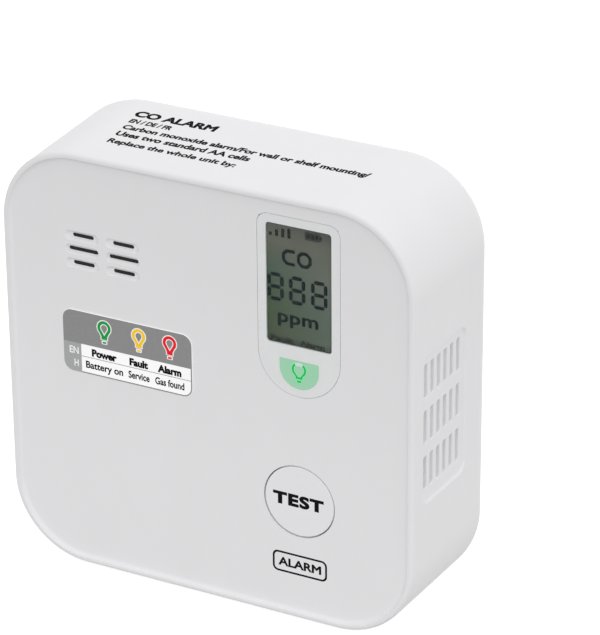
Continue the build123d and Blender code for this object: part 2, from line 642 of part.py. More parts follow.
# ---- test button: round cap, retaining flange, split skirt and the stem that reaches the switch ----
with BuildPart() as test_button:
    with BuildSketch(front_plane(DISH, BUTTON_X, BUTTON_Z)):
        Circle(BUTTON_RADIUS)
    extrude(amount=DISH - FLANGE_BACK)
    fillet(test_button.edges().group_by(Axis.Y)[0], 0.25)
    with BuildSketch(front_plane(INSIDE + TOUCH, BUTTON_X, BUTTON_Z)):
        Circle(BUTTON_FLANGE)
    extrude(amount=INSIDE + TOUCH - FLANGE_BACK)
    with BuildSketch(front_plane(FLANGE_BACK, BUTTON_X, BUTTON_Z)):
        Circle(BUTTON_STEM)
    extrude(amount=FLANGE_BACK - STEM_END)
    with BuildSketch(front_plane(FLANGE_BACK, BUTTON_X, BUTTON_Z)):
        Circle(BUTTON_FLANGE)
        Circle(BUTTON_FLANGE - BUTTON_SKIRT, mode=Mode.SUBTRACT)
        Rectangle(3 * BUTTON_FLANGE, BUTTON_FLANGE, mode=Mode.SUBTRACT)
    extrude(amount=-BUTTON_SKIRT_TALL)
save(test_button, "test_button")

# ---- button spring, standing on the board ----
spring_seat = Vector(BUTTON_X, FRONT_Y + FLANGE_BACK, MID_Z + BUTTON_Z)
button_spring = coil(*BUTTON_COIL, spring_seat, BOARD_FRONT - FLANGE_BACK, Vector(0, 1, 0))
save(button_spring, "button_spring")

# ---- tactile switch: body with four legs, and its plunger ----
with BuildPart() as switch_body:
    with BuildSketch(front_plane(SWITCH_TOP, BUTTON_X, BUTTON_Z)):
        Rectangle(SWITCH_SIZE, SWITCH_SIZE)
    extrude(amount=SWITCH_TOP - BOARD_FRONT)
    with BuildSketch(front_plane(SWITCH_TOP, BUTTON_X, BUTTON_Z)):
        Circle(PLUNGER_RADIUS + 0.05)
    extrude(amount=-2.0, mode=Mode.SUBTRACT)
    with BuildSketch(front_plane(BOARD_FRONT - 1, BUTTON_X, BUTTON_Z)):
        with GridLocations(SWITCH_LEGS, SWITCH_LEGS, 2, 2):
            Circle(LEG_RADIUS)
    extrude(amount=-BOARD_THICK - 2)
save(switch_body, "switch_body")

with BuildPart() as switch_plunger:
    with BuildSketch(front_plane(PLUNGER_TIP, BUTTON_X, BUTTON_Z)):
        Circle(PLUNGER_RADIUS)
    extrude(amount=-2.0)
    fillet(switch_plunger.edges().group_by(Axis.Y)[0], 0.2)
save(switch_plunger, "switch_plunger")

# ---- main board, notched round the case bosses and drilled for screws and leads ----
with BuildPart() as main_board:
    with BuildSketch(front_plane(BOARD_FRONT)):
        RectangleRounded(BOARD, BOARD, BOARD_CORNER)
        with Locations(*CASE_SCREWS):
            Circle(CASE_BOSS + 1, mode=Mode.SUBTRACT)
        with Locations(*BOARD_SCREWS):
            Circle(BOARD_SHANK + 0.3, mode=Mode.SUBTRACT)
        with Locations((BUTTON_X, BUTTON_Z)):
            with GridLocations(SWITCH_LEGS, SWITCH_LEGS, 2, 2):
                Circle(LEG_HOLE, mode=Mode.SUBTRACT)
        with Locations((SOUND_X, SOUND_Z)):
            with GridLocations(SOUNDER_PINS, 1, 2, 1):
                Circle(LEG_HOLE, mode=Mode.SUBTRACT)
        with Locations((SENSOR_X, SENSOR_Z)):
            with PolarLocations(SENSOR_PINS, 3):
                Circle(SENSOR_PIN_HOLE, mode=Mode.SUBTRACT)
    extrude(amount=-BOARD_THICK)
save(main_board, "main_board")

# ---- sounder: ported case, brass disc, foam ring, dust mesh and pins ----
with BuildPart() as sounder_case:
    with BuildSketch(front_plane(SOUNDER_FRONT, SOUND_X, SOUND_Z)):
        Circle(SOUNDER_RADIUS)
    extrude(amount=SOUNDER_FRONT - BOARD_FRONT)
    fillet(sounder_case.edges().group_by(Axis.Y)[0], 0.5)
    with BuildSketch(front_plane(SOUNDER_FRONT + SOUNDER_FACE, SOUND_X, SOUND_Z)):
        Circle(SOUNDER_BORE)
    extrude(amount=-SOUNDER_BORE_DEPTH, mode=Mode.SUBTRACT)
    with BuildSketch(front_plane(SOUNDER_FRONT, SOUND_X, SOUND_Z)):
        Circle(SOUNDER_PORT)
    extrude(amount=-SOUNDER_FACE, mode=Mode.SUBTRACT)
save(sounder_case, "sounder_case")

with BuildPart() as sounder_disc:
    with BuildSketch(front_plane(DISC_DEPTH, SOUND_X, SOUND_Z)):
        Circle(SOUNDER_BORE - 0.05)
    extrude(amount=-DISC_THICK)
save(sounder_disc, "sounder_disc")

with BuildPart() as sounder_gasket:
    with BuildSketch(front_plane(GASKET_DEPTH, SOUND_X, SOUND_Z)):
        Circle(SOUNDER_RADIUS)
        Circle(SOUNDER_RADIUS - 2, mode=Mode.SUBTRACT)
    extrude(amount=GASKET_DEPTH - SOUNDER_FRONT)
save(sounder_gasket, "sounder_gasket")

with BuildPart() as sounder_mesh:
    with BuildSketch(front_plane(SOUND_SEAT + TOUCH, SOUND_X, SOUND_Z)):
        Circle(SOUNDER_RADIUS)
    extrude(amount=-MESH_THICK)
save(sounder_mesh, "sounder_mesh")

with BuildPart() as sounder_pins:
    with BuildSketch(front_plane(BOARD_FRONT, SOUND_X, SOUND_Z)):
        with GridLocations(SOUNDER_PINS, 1, 2, 1):
            Circle(SOUNDER_PIN_RADIUS)
    extrude(amount=-BOARD_THICK - PIN_END)
save(sounder_pins, "sounder_pins")

# ---- carbon monoxide cell behind the board: grooved body, inlet cap, filter disc and pins ----
with BuildPart() as sensor_body:
    with BuildSketch(front_plane(SENSOR_START, SENSOR_X, SENSOR_Z)):
        Circle(SENSOR_RADIUS)
    extrude(amount=-SENSOR_LENGTH)
    fillet(sensor_body.edges().group_by(Axis.Y)[-1], 0.8)
    with BuildSketch(front_plane(SENSOR_START + 3, SENSOR_X, SENSOR_Z)):
        Circle(SENSOR_RADIUS + 1)
        Circle(SENSOR_RADIUS - 0.5, mode=Mode.SUBTRACT)
    extrude(amount=-0.8, mode=Mode.SUBTRACT)
save(sensor_body, "sensor_body")

with BuildPart() as sensor_cap:
    with BuildSketch(front_plane(SENSOR_START + SENSOR_LENGTH, SENSOR_X, SENSOR_Z)):
        Circle(SENSOR_CAP)
        Circle(SENSOR_PORT, mode=Mode.SUBTRACT)
    extrude(amount=-SENSOR_CAP_TALL)
    fillet(sensor_cap.edges().group_by(Axis.Y)[-1].sort_by(SortBy.LENGTH)[-1], 0.5)
save(sensor_cap, "sensor_cap")

with BuildPart() as sensor_filter:
    with BuildSketch(front_plane(SENSOR_START + SENSOR_LENGTH, SENSOR_X, SENSOR_Z)):
        Circle(SENSOR_PORT - TOUCH)
    extrude(amount=-FILTER_TALL)
save(sensor_filter, "sensor_filter")

with BuildPart() as sensor_pins:
    with BuildSketch(front_plane(BOARD_FRONT - PIN_END, SENSOR_X, SENSOR_Z)):
        with PolarLocations(SENSOR_PINS, 3):
            Circle(SENSOR_PIN_RADIUS)
    extrude(amount=BOARD_FRONT - PIN_END - SENSOR_START)
save(sensor_pins, "sensor_pins")

# ---- flat components on the back of the board ----
with BuildPart() as radio_board:
    with BuildSketch(front_plane(BOARD_BACK, RADIO_X, RADIO_Z)):
        RectangleRounded(*RADIO_BOARD, 0.4)
    extrude(amount=-RADIO_BOARD_THICK)
save(radio_board, "radio_board")

with BuildPart() as radio_shield:
    with BuildSketch(front_plane(BOARD_BACK + RADIO_BOARD_THICK, RADIO_X, SHIELD_Z)):
        RectangleRounded(*SHIELD, 1.0)
    extrude(amount=-SHIELD_TALL)
    fillet(radio_shield.edges().group_by(Axis.Y)[-1], 0.4)
save(radio_shield, "radio_shield")

with BuildPart() as controller_chip:
    with BuildSketch(front_plane(BOARD_BACK, CHIP_X, CHIP_Z)):
        RectangleRounded(CHIP, CHIP, 0.3)
    extrude(amount=-CHIP_TALL)
save(controller_chip, "controller_chip")

with BuildPart() as capacitors:
    with BuildSketch(front_plane(BOARD_BACK, 0, CAPACITOR_Z)):
        with GridLocations(CAPACITOR_PITCH, 1, 2, 1):
            Circle(CAPACITOR_RADIUS)
    extrude(amount=-CAPACITOR_TALL)
    fillet(capacitors.edges().group_by(Axis.Y)[-1], 0.4)
save(capacitors, "capacitors")

with BuildPart() as boost_coil:
    with BuildSketch(front_plane(BOARD_BACK, COIL_X, COIL_Z)):
        Circle(COIL_RADIUS)
    extrude(amount=-COIL_TALL)
    with BuildSketch(front_plane(BOARD_BACK + COIL_FLANGE, COIL_X, COIL_Z)):
        Circle(COIL_RADIUS + 1)
        Circle(COIL_CORE, mode=Mode.SUBTRACT)
    extrude(amount=2 * COIL_FLANGE - COIL_TALL, mode=Mode.SUBTRACT)
save(boost_coil, "boost_coil")

# ---- two AA cells lying across the tray, nubs pointing opposite ways ----
for cell_name, z, nub_end, way in (
    ("battery_upper", UPPER_CELL, CELL_RIGHT - CONTACT_THICK - 3 * TOUCH, 1),
    ("battery_lower", LOWER_CELL, CELL_LEFT + CONTACT_THICK + 3 * TOUCH, -1),
):
    with BuildPart() as cell:
        with BuildSketch(side_plane(nub_end, CELL_DEPTH, z)):
            Circle(NUB_RADIUS)
        extrude(amount=-way * (CELL_LENGTH + NUB_LENGTH))
        with BuildSketch(side_plane(nub_end - way * NUB_LENGTH, CELL_DEPTH, z)):
            Circle(CELL_RADIUS)
        extrude(amount=-way * CELL_LENGTH)
        fillet(cell.edges().filter_by(GeomType.CIRCLE).sort_by(SortBy.LENGTH)[-2:], 0.5)
    save(cell, cell_name)

# ---- battery contacts: a bridge on the left wall, two with tails to the board on the right ----
with BuildPart() as contact_bridge:
    with BuildSketch(side_plane(CELL_LEFT + TOUCH, CELL_DEPTH, TRAY_Z)):
        RectangleRounded(CONTACT, CELL_PITCH + CONTACT, 1.0)
    extrude(amount=CONTACT_THICK)
save(contact_bridge, "contact_bridge")

for contact_name, z in (("contact_positive", UPPER_CELL), ("contact_negative", LOWER_CELL)):
    tail_end = CELL_RIGHT + TRAY_WALL + 2
    with BuildPart() as contact:
        with BuildSketch(side_plane(CELL_RIGHT - CONTACT_THICK - TOUCH, CELL_DEPTH, z)):
            RectangleRounded(CONTACT, CONTACT, 1.0)
        extrude(amount=CONTACT_THICK)
        with BuildSketch(side_plane(CELL_RIGHT - CONTACT_THICK, CELL_DEPTH, z)):
            Rectangle(CONTACT_THICK, CONTACT_TAIL)
        extrude(amount=tail_end - CELL_RIGHT + CONTACT_THICK)
        with BuildSketch(front_plane(CELL_DEPTH + CONTACT_THICK / 2, tail_end - CONTACT_THICK / 2, z)):
            Rectangle(CONTACT_THICK, CONTACT_TAIL)
        extrude(amount=CELL_DEPTH + CONTACT_THICK / 2 - BOARD_BACK - TOUCH)
    save(contact, contact_name)

# ---- coils that press on the cells' flat ends ----
for spring_name, x, z, way in (
    ("bridge_spring", CELL_LEFT + CONTACT_THICK + TOUCH, UPPER_CELL, 1),
    ("negative_spring", CELL_RIGHT - CONTACT_THICK - TOUCH, LOWER_CELL, -1),
):
    foot = Vector(x, FRONT_Y + CELL_DEPTH, MID_Z + z)
    save(coil(*CELL_COIL, foot, CELL_SPRING, Vector(way, 0, 0)), spring_name)

# ---- screws ----
case_screws = screw_set(CASE_SCREWS, HEAD_SEAT, HEAD_RADIUS, CASE_SHANK, CASE_SCREW_LENGTH)
save(case_screws, "case_screws")
board_screws = screw_set(BOARD_SCREWS, BOARD_BACK, BOARD_HEAD, BOARD_SHANK, BOARD_SCREW_LENGTH)
save(board_screws, "board_screws")
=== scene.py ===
"""Looks for the square carbon monoxide alarm: printed marks, display, materials, studio and camera.

Frame as in the CAD: metres, X right, Y back, Z up; the display faces -Y.
Sizes in the tables are millimetres. Marks on the front are measured from its middle: x to the right, z up.
"""

from math import cos, pi, radians, sin

import bpy
import numpy as np
from mathutils import Matrix, Vector
from mathutils.geometry import delaunay_2d_cdt, interpolate_bezier


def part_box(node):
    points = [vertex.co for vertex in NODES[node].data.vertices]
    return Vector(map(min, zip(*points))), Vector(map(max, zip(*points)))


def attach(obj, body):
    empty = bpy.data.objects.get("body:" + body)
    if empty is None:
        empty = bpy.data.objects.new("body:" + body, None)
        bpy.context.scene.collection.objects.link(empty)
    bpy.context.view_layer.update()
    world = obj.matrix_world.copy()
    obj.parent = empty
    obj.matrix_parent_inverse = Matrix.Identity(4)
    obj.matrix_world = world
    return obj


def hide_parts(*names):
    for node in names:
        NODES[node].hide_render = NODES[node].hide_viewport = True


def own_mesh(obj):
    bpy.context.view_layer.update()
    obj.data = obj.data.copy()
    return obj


MM = 0.001
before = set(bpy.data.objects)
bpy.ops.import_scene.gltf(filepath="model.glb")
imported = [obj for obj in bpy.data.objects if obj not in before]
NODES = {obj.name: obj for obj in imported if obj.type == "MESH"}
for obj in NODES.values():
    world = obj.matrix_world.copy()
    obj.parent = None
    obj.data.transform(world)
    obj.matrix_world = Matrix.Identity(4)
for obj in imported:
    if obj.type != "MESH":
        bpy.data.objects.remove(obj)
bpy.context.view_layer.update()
MIDDLE = (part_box("front_housing")[0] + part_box("front_housing")[1]) / 2

# ---- camera: the viewing angle of the studio shot ----
AZIMUTH, ELEVATION, ROLL = 28.137, 25.435, -0.423
AIM = Vector((13.24, 0.0, 63.09)) * MM
DISTANCE = 739.3 * MM
LENS, SENSOR = 197.3, 36.0


def add_camera():
    """A long lens that looks down on the case from its right."""
    turn = Matrix.Rotation(radians(AZIMUTH), 4, "Z")
    tip = Matrix.Rotation(radians(90 - ELEVATION), 4, "X")
    level = Matrix.Rotation(radians(ROLL), 4, "Z")
    facing = turn @ tip @ level
    data = bpy.data.cameras.new("camera")
    data.lens = LENS
    data.sensor_width = SENSOR
    data.clip_start = 0.01
    camera = bpy.data.objects.new("camera", data)
    camera.matrix_world = Matrix.Translation(AIM + DISTANCE * facing.col[2].xyz) @ facing
    bpy.context.scene.collection.objects.link(camera)
    bpy.context.scene.camera = camera


# ---- small node helpers ----
STUDIO_LIGHT = 0.8  # share of its own colour that a surface on the front of the case shows


def srgb(*levels):
    """Linear colour of an 8-bit screen colour."""
    return [((v / 255 + 0.055) / 1.055) ** 2.4 if v > 10 else v / 255 / 12.92 for v in levels]


def paint(*levels):
    """The pigment that shows as this screen colour on the front of the case."""
    return [min(v / STUDIO_LIGHT, 0.98) for v in srgb(*levels)] + [1.0]


def add_node(tree, kind, inputs=None, **settings):
    """A node with its inputs linked or set, and its other settings given by name."""
    node = tree.nodes.new(kind)
    for key, value in settings.items():
        setattr(node, key, value)
    for key, value in (inputs or {}).items():
        if isinstance(value, bpy.types.NodeSocket):
            tree.links.new(value, node.inputs[key])
        else:
            node.inputs[key].default_value = value
    return node


def maths(tree, operation, *values):
    """The result of a Math node on one or two values."""
    return add_node(tree, "ShaderNodeMath", dict(enumerate(values)), operation=operation).outputs[0]


def object_coordinates(tree):
    """Coordinates that stay with the piece, in metres."""
    return add_node(tree, "ShaderNodeTexCoord").outputs["Object"]


def axes(tree, vector):
    """The X, Y and Z outputs of a vector."""
    return add_node(tree, "ShaderNodeSeparateXYZ", {"Vector": vector}).outputs


def place(tree, scale):
    """Object coordinates, scaled along each axis, in units per metre."""
    inputs = {"Vector": object_coordinates(tree), "Scale": scale}
    return add_node(tree, "ShaderNodeMapping", inputs).outputs["Vector"]


def noise(tree, size, detail=2.0, stretch=(1, 1, 1)):
    """Noise with blotches about size millimetres across, longer along an axis with a small stretch."""
    vector = place(tree, [s / (size * MM) for s in stretch])
    inputs = {"Vector": vector, "Scale": 1.0, "Detail": detail}
    return add_node(tree, "ShaderNodeTexNoise", inputs).outputs["Fac"]


def ranged(tree, value, low, high, start=0.3, end=0.7):
    """value remapped from start..end to low..high."""
    inputs = {"Value": value, "From Min": start, "From Max": end, "To Min": low, "To Max": high}
    return add_node(tree, "ShaderNodeMapRange", inputs).outputs["Result"]


def mixed(tree, factor, first, second):
    """A colour between first and second."""
    node = add_node(tree, "ShaderNodeMix", data_type="RGBA")
    for socket, value in ((node.inputs[0], factor), (node.inputs[6], first), (node.inputs[7], second)):
        if isinstance(value, bpy.types.NodeSocket):
            tree.links.new(value, socket)
        else:
            socket.default_value = value
    return node.outputs[2]


def bumped(tree, height, depth, below=None):
    """A normal raised by height times depth millimetres, on top of another normal."""
    inputs = {"Height": height, "Strength": 1.0, "Distance": depth * MM}
    if below is not None:
        inputs["Normal"] = below
    return add_node(tree, "ShaderNodeBump", inputs).outputs["Normal"]


def neutral(level):
    """A grey."""
    return (level, level, level, 1)


def shade(color, factor):
    """A colour made darker or lighter."""
    return [min(v * factor, 1.0) for v in color[:3]] + [1.0]


def new_material(name):
    """A material with its node tree and its shader."""
    material = bpy.data.materials.new(name)
    material.use_nodes = True
    return material, material.node_tree, material.node_tree.nodes["Principled BSDF"]


def link(tree, shader, **values):
    """Feeds the named inputs of a shader; underscores stand for spaces."""
    for key, value in values.items():
        socket = shader.inputs[key.replace("_", " ")]
        if isinstance(value, bpy.types.NodeSocket):
            tree.links.new(value, socket)
        else:
            socket.default_value = value


# ---- materials ----
def plastic(name, color, roughness=0.42, grain=0.22, depth=0.004, mottle=0.015):
    """Moulded plastic: a fine spark-eroded grain, faint flow mottling and slightly uneven sheen."""
    material, tree, shader = new_material(name)
    flow = noise(tree, 9.0, 3.0, (1, 1, 0.45))
    texture = noise(tree, grain, 1.0)
    tone = mixed(tree, ranged(tree, flow, 0, 1), shade(color, 1 - mottle), shade(color, 1 + mottle))
    link(
        tree,
        shader,
        Base_Color=tone,
        Roughness=ranged(tree, noise(tree, 2.2), roughness - 0.05, roughness + 0.05),
        Normal=bumped(tree, texture, depth, bumped(tree, flow, 0.01)),
        Specular_IOR_Level=0.4,
    )
    return material


def film(name, color, roughness=0.3, glow=0.0):
    """Printed film: nearly smooth, with a trace of orange peel."""
    material, tree, shader = new_material(name)
    peel = noise(tree, 0.9, 1.0)
    tone = mixed(tree, ranged(tree, noise(tree, 5.0), 0, 1), shade(color, 0.985), shade(color, 1.01))
    link(
        tree,
        shader,
        Base_Color=tone,
        Roughness=ranged(tree, peel, roughness - 0.04, roughness + 0.06),
        Normal=bumped(tree, peel, 0.003),
        Specular_IOR_Level=0.35,
        Emission_Color=color,
        Emission_Strength=glow,
    )
    return material


def ink(name, color, roughness=0.5, glow=0.0, sheen=0.1):
    """Screen-printed ink, a little uneven in cover."""
    material, tree, shader = new_material(name)
    cover = noise(tree, 0.35, 3.0)
    link(
        tree,
        shader,
        Base_Color=mixed(tree, ranged(tree, cover, 0, 1), shade(color, 0.95), shade(color, 1.05)),
        Roughness=ranged(tree, cover, roughness - 0.08, roughness + 0.08),
        Normal=bumped(tree, cover, 0.004),
        Specular_IOR_Level=sheen,
        Emission_Color=color,
        Emission_Strength=glow,
    )
    return material


def metal(name, color, roughness=0.28, stretch=(1, 1, 1), size=0.3):
    """Plated or drawn metal, with marks that run along the axis of the smallest stretch."""
    material, tree, shader = new_material(name)
    marks = noise(tree, size, 4.0, stretch)
    stain = noise(tree, 2.5, 3.0)
    link(
        tree,
        shader,
        Base_Color=mixed(tree, ranged(tree, stain, 0, 1), shade(color, 0.86), shade(color, 1.06)),
        Metallic=1.0,
        Roughness=ranged(tree, marks, roughness - 0.1, roughness + 0.14),
        Normal=bumped(tree, marks, 0.006),
    )
    return material


def clear_pane(name, tint, gloss):
    """A thin clear pane: what lies behind it shows, under a faint reflection."""
    material, tree, shader = new_material(name)
    tree.nodes.remove(shader)
    through = add_node(tree, "ShaderNodeBsdfTransparent", {"Color": tint})
    smear = ranged(tree, noise(tree, 3.0), 0.03, 0.09)
    shine = add_node(tree, "ShaderNodeBsdfGlossy", {"Color": (1, 1, 1, 1), "Roughness": smear})
    edge = add_node(tree, "ShaderNodeFresnel", {"IOR": 1.45}).outputs["Fac"]
    share = maths(tree, "MULTIPLY", edge, gloss)
    both = add_node(tree, "ShaderNodeMixShader", {0: share, 1: through.outputs[0], 2: shine.outputs[0]})
    tree.links.new(both.outputs[0], tree.nodes["Material Output"].inputs["Surface"])
    return material


def ramped(tree, factor, stops):
    """A colour from screen colours at rising positions."""
    node = add_node(tree, "ShaderNodeValToRGB", {"Fac": factor})
    elements = node.color_ramp.elements
    elements[0].position, elements[1].position = stops[0][0], stops[-1][0]
    for position, _ in stops[1:-1]:
        elements.new(position)
    for element, (_, color) in zip(elements, stops):
        element.color = paint(*color)
    return node.outputs["Color"]


# screen colours up the display's left and right edges, each with its share of the height; the darker first
# stops are a painted shadow along the bottom, the darker last stops painted shade along the top
DISPLAY_LEFT = (
    (0.0, (52, 60, 46)),
    (0.07, (72, 82, 63)),
    (0.3, (69, 86, 63)),
    (0.6, (72, 92, 78)),
    (0.86, (102, 103, 94)),
    (1.0, (98, 97, 94)),
)
DISPLAY_RIGHT = (
    (0.0, (68, 76, 70)),
    (0.07, (93, 105, 94)),
    (0.3, (94, 106, 98)),
    (0.6, (107, 111, 103)),
    (0.86, (102, 104, 95)),
    (1.0, (78, 78, 77)),
)


def display_face():
    """The display's grey-green film, greener to the lower left, with a painted shadow along its bottom and
    painted shade along its top and right edge.
    """
    material, tree, shader = new_material("display_face")
    low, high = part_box("display_window")
    spot = axes(tree, object_coordinates(tree))
    across = ranged(tree, spot["X"], 0, 1, low.x, high.x)
    upward = ranged(tree, spot["Z"], 0, 1, low.z, high.z)
    tone = mixed(tree, across, ramped(tree, upward, DISPLAY_LEFT), ramped(tree, upward, DISPLAY_RIGHT))
    haze = ranged(tree, noise(tree, 4.0), 0.96, 1.03)
    # painted shade: darker over the last share of the width, along the right edge
    side = ranged(tree, across, 1.0, 0.78, 0.93, 1.0)
    level = maths(tree, "MULTIPLY", haze, side)
    tone_with_painted_shade = add_node(tree, "ShaderNodeVectorMath", {0: tone, "Scale": level}, operation="SCALE")
    link(tree, shader, Base_Color=tone_with_painted_shade.outputs[0], Roughness=0.4, Specular_IOR_Level=0.02)
    link(tree, shader, Normal=bumped(tree, noise(tree, 0.25), 0.002))
    return material


def woven(name, color, pitch, hole):
    """A plain weave in the plane across Y or X: two crossed sets of threads."""
    material, tree, shader = new_material(name)
    turn = axes(tree, place(tree, [2 * pi / (pitch * MM)] * 3))
    warp = maths(tree, "SINE", maths(tree, "ADD", turn["X"], turn["Y"]))
    weft = maths(tree, "SINE", turn["Z"])
    weave = maths(tree, "MAXIMUM", warp, weft)
    tone = mixed(tree, ranged(tree, weave, 0, 1, -0.6, 0.6), shade(color, hole), color)
    link(tree, shader, Base_Color=tone, Roughness=0.85, Normal=bumped(tree, weave, 0.02))
    return material


def circuit_board(name, mask, copper):
    """Solder mask over squared tracks, with a scatter of bare pads."""
    material, tree, shader = new_material(name)
    tracks_per_mm, pads_per_mm, bands = 0.35, 0.28, 3.2
    vector = place(tree, [1 / MM] * 3)
    flat = add_node(tree, "ShaderNodeVectorMath", {0: vector, 1: (1, 0, 1)}, operation="MULTIPLY").outputs[0]
    squares = {"Vector": flat, "Scale": tracks_per_mm}
    cells = add_node(tree, "ShaderNodeTexVoronoi", squares, distance="MANHATTAN", feature="F1")
    wave = maths(tree, "FRACT", maths(tree, "MULTIPLY", cells.outputs["Distance"], bands))
    track = ranged(tree, wave, 0, 1, 0.55, 0.6)
    scatter = {"Vector": flat, "Scale": pads_per_mm, "Randomness": 0.8}
    pads = add_node(tree, "ShaderNodeTexVoronoi", scatter)
    pad = ranged(tree, pads.outputs["Distance"], 1, 0, 0.13, 0.15)
    tone = mixed(tree, pad, mixed(tree, track, mask, shade(mask, 1.6)), copper)
    height = maths(tree, "ADD", track, pad)
    link(tree, shader, Base_Color=tone, Metallic=ranged(tree, pad, 0, 1, 0, 1), Roughness=0.32)
    link(tree, shader, Normal=bumped(tree, height, 0.03))
    return material


def wound_wire(name, color, pitch):
    """Lacquered wire wound closely round a bobbin that stands along Y, with painted shade in the grooves
    between the turns.
    """
    material, tree, shader = new_material(name)
    wave = maths(tree, "SINE", axes(tree, place(tree, [2 * pi / (pitch * MM)] * 3))["Y"])
    # painted shade: the colour falls to under half in the grooves between the turns
    tone = mixed(tree, ranged(tree, wave, 0, 1, -1, 1), shade(color, 0.45), color)
    link(tree, shader, Base_Color=tone, Metallic=0.8, Roughness=0.3, Normal=bumped(tree, wave, 0.04))
    return material


CELL_LENGTH = 50.5
BARE_STEEL = neutral(0.7)
# share of the cell's length from the nub end, with the colour and the share of metal from there on
CELL_BANDS = (
    (0.0, BARE_STEEL, 1.0),
    (0.045, (0.62, 0.3, 0.1, 1), 0.55),
    (0.28, (0.75, 0.75, 0.74, 1), 0.55),
    (0.29, (0.03, 0.034, 0.045, 1), 0.2),
    (0.975, BARE_STEEL, 1.0),
)


def stepped(tree, factor, stops):
    """A colour that changes in hard steps, at rising positions from 0."""
    node = add_node(tree, "ShaderNodeValToRGB", {"Fac": factor})
    ramp = node.color_ramp
    ramp.interpolation = "CONSTANT"
    ramp.elements.remove(ramp.elements[-1])
    ramp.elements[0].color = stops[0][1]
    for position, color in stops[1:]:
        ramp.elements.new(position).color = color
    return node.outputs["Color"]


def battery_wrap(name, nub_end, way):
    """The printed wrap of a cell: dark body, a warm band at the nub end and bare metal at both ends."""
    material, tree, shader = new_material(name)
    along = axes(tree, object_coordinates(tree))["X"]
    share = ranged(tree, along, 0, 1, nub_end, nub_end - way * CELL_LENGTH * MM)
    colors = stepped(tree, share, [(start, color) for start, color, _ in CELL_BANDS])
    metals = stepped(tree, share, [(start, neutral(level)) for start, _, level in CELL_BANDS])
    scuff = noise(tree, 0.6, 4.0, (0.2, 1, 1))
    link(tree, shader, Base_Color=colors, Metallic=metals)
    link(tree, shader, Roughness=ranged(tree, scuff, 0.18, 0.4), Normal=bumped(tree, scuff, 0.004))
    return material


def case_material():
    """The case's white plastic, a shade lighter and darker in its flow lines."""
    return plastic("case_plastic", paint(217, 217, 218), 0.46, 0.25, 0.003, 0.006)


def dress_frame():
    """Gives every CAD node its material."""
    case = case_material()
    looks = {
        "front_housing": case,
        "rear_cover": case,
        "battery_door": case,
        "test_button": plastic("button_plastic", paint(219, 219, 221), 0.44, 0.25, 0.003, 0.006),
        "display_overlay": film("overlay_film", paint(216, 217, 217)),
        "display_window": clear_pane("window_pane", (0.98, 0.99, 0.98, 1), 0.14),
        "lamp_window": film("lamp_film", paint(152, 206, 171), 0.35),
        # the legend paper glows: painted light that makes its white brighter than the lamps make it
        "legend_label": film("legend_paper_painted_glow", paint(255, 255, 255), 0.4, 0.17),
        "rating_label": film("rating_paper", paint(205, 206, 206), 0.4),
        "vent_membrane": woven("membrane_felt", paint(226, 224, 226), 0.3, 0.93),
        "display_front_film": display_face(),
        "display_rear_film": film("rear_polariser", paint(120, 126, 115)),
        "display_front_glass": clear_pane("display_glass", (0.9, 0.94, 0.92, 1), 1.0),
        "display_backlight": plastic("backlight_resin", paint(225, 228, 222), 0.3, 0.4, 0.002),
        "display_frame": plastic("frame_resin", paint(200, 200, 196), 0.5),
        "display_connector_strip": plastic("strip_rubber", paint(45, 45, 47), 0.8, 0.1, 0.01),
        "light_guide": clear_pane("guide_resin", (0.93, 0.97, 0.95, 1), 1.0),
        "power_lamp": plastic("lamp_resin", paint(222, 220, 200), 0.25, 0.3, 0.002),
        "button_spring": metal("spring_wire", (0.55, 0.55, 0.56), 0.25),
        "switch_body": plastic("switch_resin", paint(38, 38, 40), 0.5),
        "switch_plunger": plastic("plunger_resin", paint(150, 40, 32), 0.4),
        "main_board": circuit_board("board_laminate", paint(22, 78, 46), (0.75, 0.72, 0.6, 1)),
        "radio_board": circuit_board("radio_laminate", paint(18, 42, 88), (0.8, 0.62, 0.3, 1)),
        "sounder_case": plastic("sounder_resin", paint(30, 30, 31), 0.55, 0.4, 0.01),
        "sounder_disc": metal("sounder_brass", (0.72, 0.5, 0.22), 0.3, (1, 1, 0.1)),
        "sounder_gasket": plastic("gasket_foam", paint(60, 60, 62), 0.95, 0.3, 0.12),
        "sounder_mesh": woven("mesh_cloth", paint(26, 26, 27), 0.35, 0.2),
        "sounder_pins": metal("tinned_pin", (0.7, 0.7, 0.71), 0.2),
        "sensor_body": plastic("cell_resin", paint(206, 208, 210), 0.4),
        "sensor_cap": plastic("cell_cap_resin", paint(48, 84, 130), 0.4),
        "radio_shield": metal("shield_tin", (0.62, 0.62, 0.62), 0.3, (0.1, 1, 1)),
        "controller_chip": plastic("chip_resin", paint(34, 34, 36), 0.6, 0.15, 0.006),
        "capacitors": plastic("capacitor_sleeve", paint(36, 40, 62), 0.3, 0.6, 0.002),
        "boost_coil": wound_wire("coil_wire", (0.6, 0.22, 0.08, 1), 0.4),
        "contact_bridge": metal("contact_nickel", (0.68, 0.66, 0.6), 0.22, (1, 1, 0.15)),
        "case_screws": metal("screw_zinc", (0.58, 0.59, 0.6), 0.3),
    }
    same = {
        "display_rear_glass": "display_front_glass",
        "fault_lamp": "power_lamp",
        "alarm_lamp": "power_lamp",
        "sensor_filter": "vent_membrane",
        "sensor_pins": "sounder_pins",
        "contact_positive": "contact_bridge",
        "contact_negative": "contact_bridge",
        "bridge_spring": "contact_bridge",
        "negative_spring": "contact_bridge",
        "board_screws": "case_screws",
    }
    for node, twin in same.items():
        looks[node] = looks[twin]
    looks["battery_upper"] = battery_wrap("upper_wrap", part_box("battery_upper")[1].x, 1)
    looks["battery_lower"] = battery_wrap("lower_wrap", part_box("battery_lower")[0].x, -1)
    for name, node in NODES.items():
        node.data.materials.clear()
        node.data.materials.append(looks[name])


# ---- printed marks: thin closed solids on a surface ----
PRINT = 0.02 * MM  # thickness of one layer
LIFT = 0.02  # share of a layer that stays clear below each print
SAME_POINT = 1e-5
CURVE_STEPS = 6


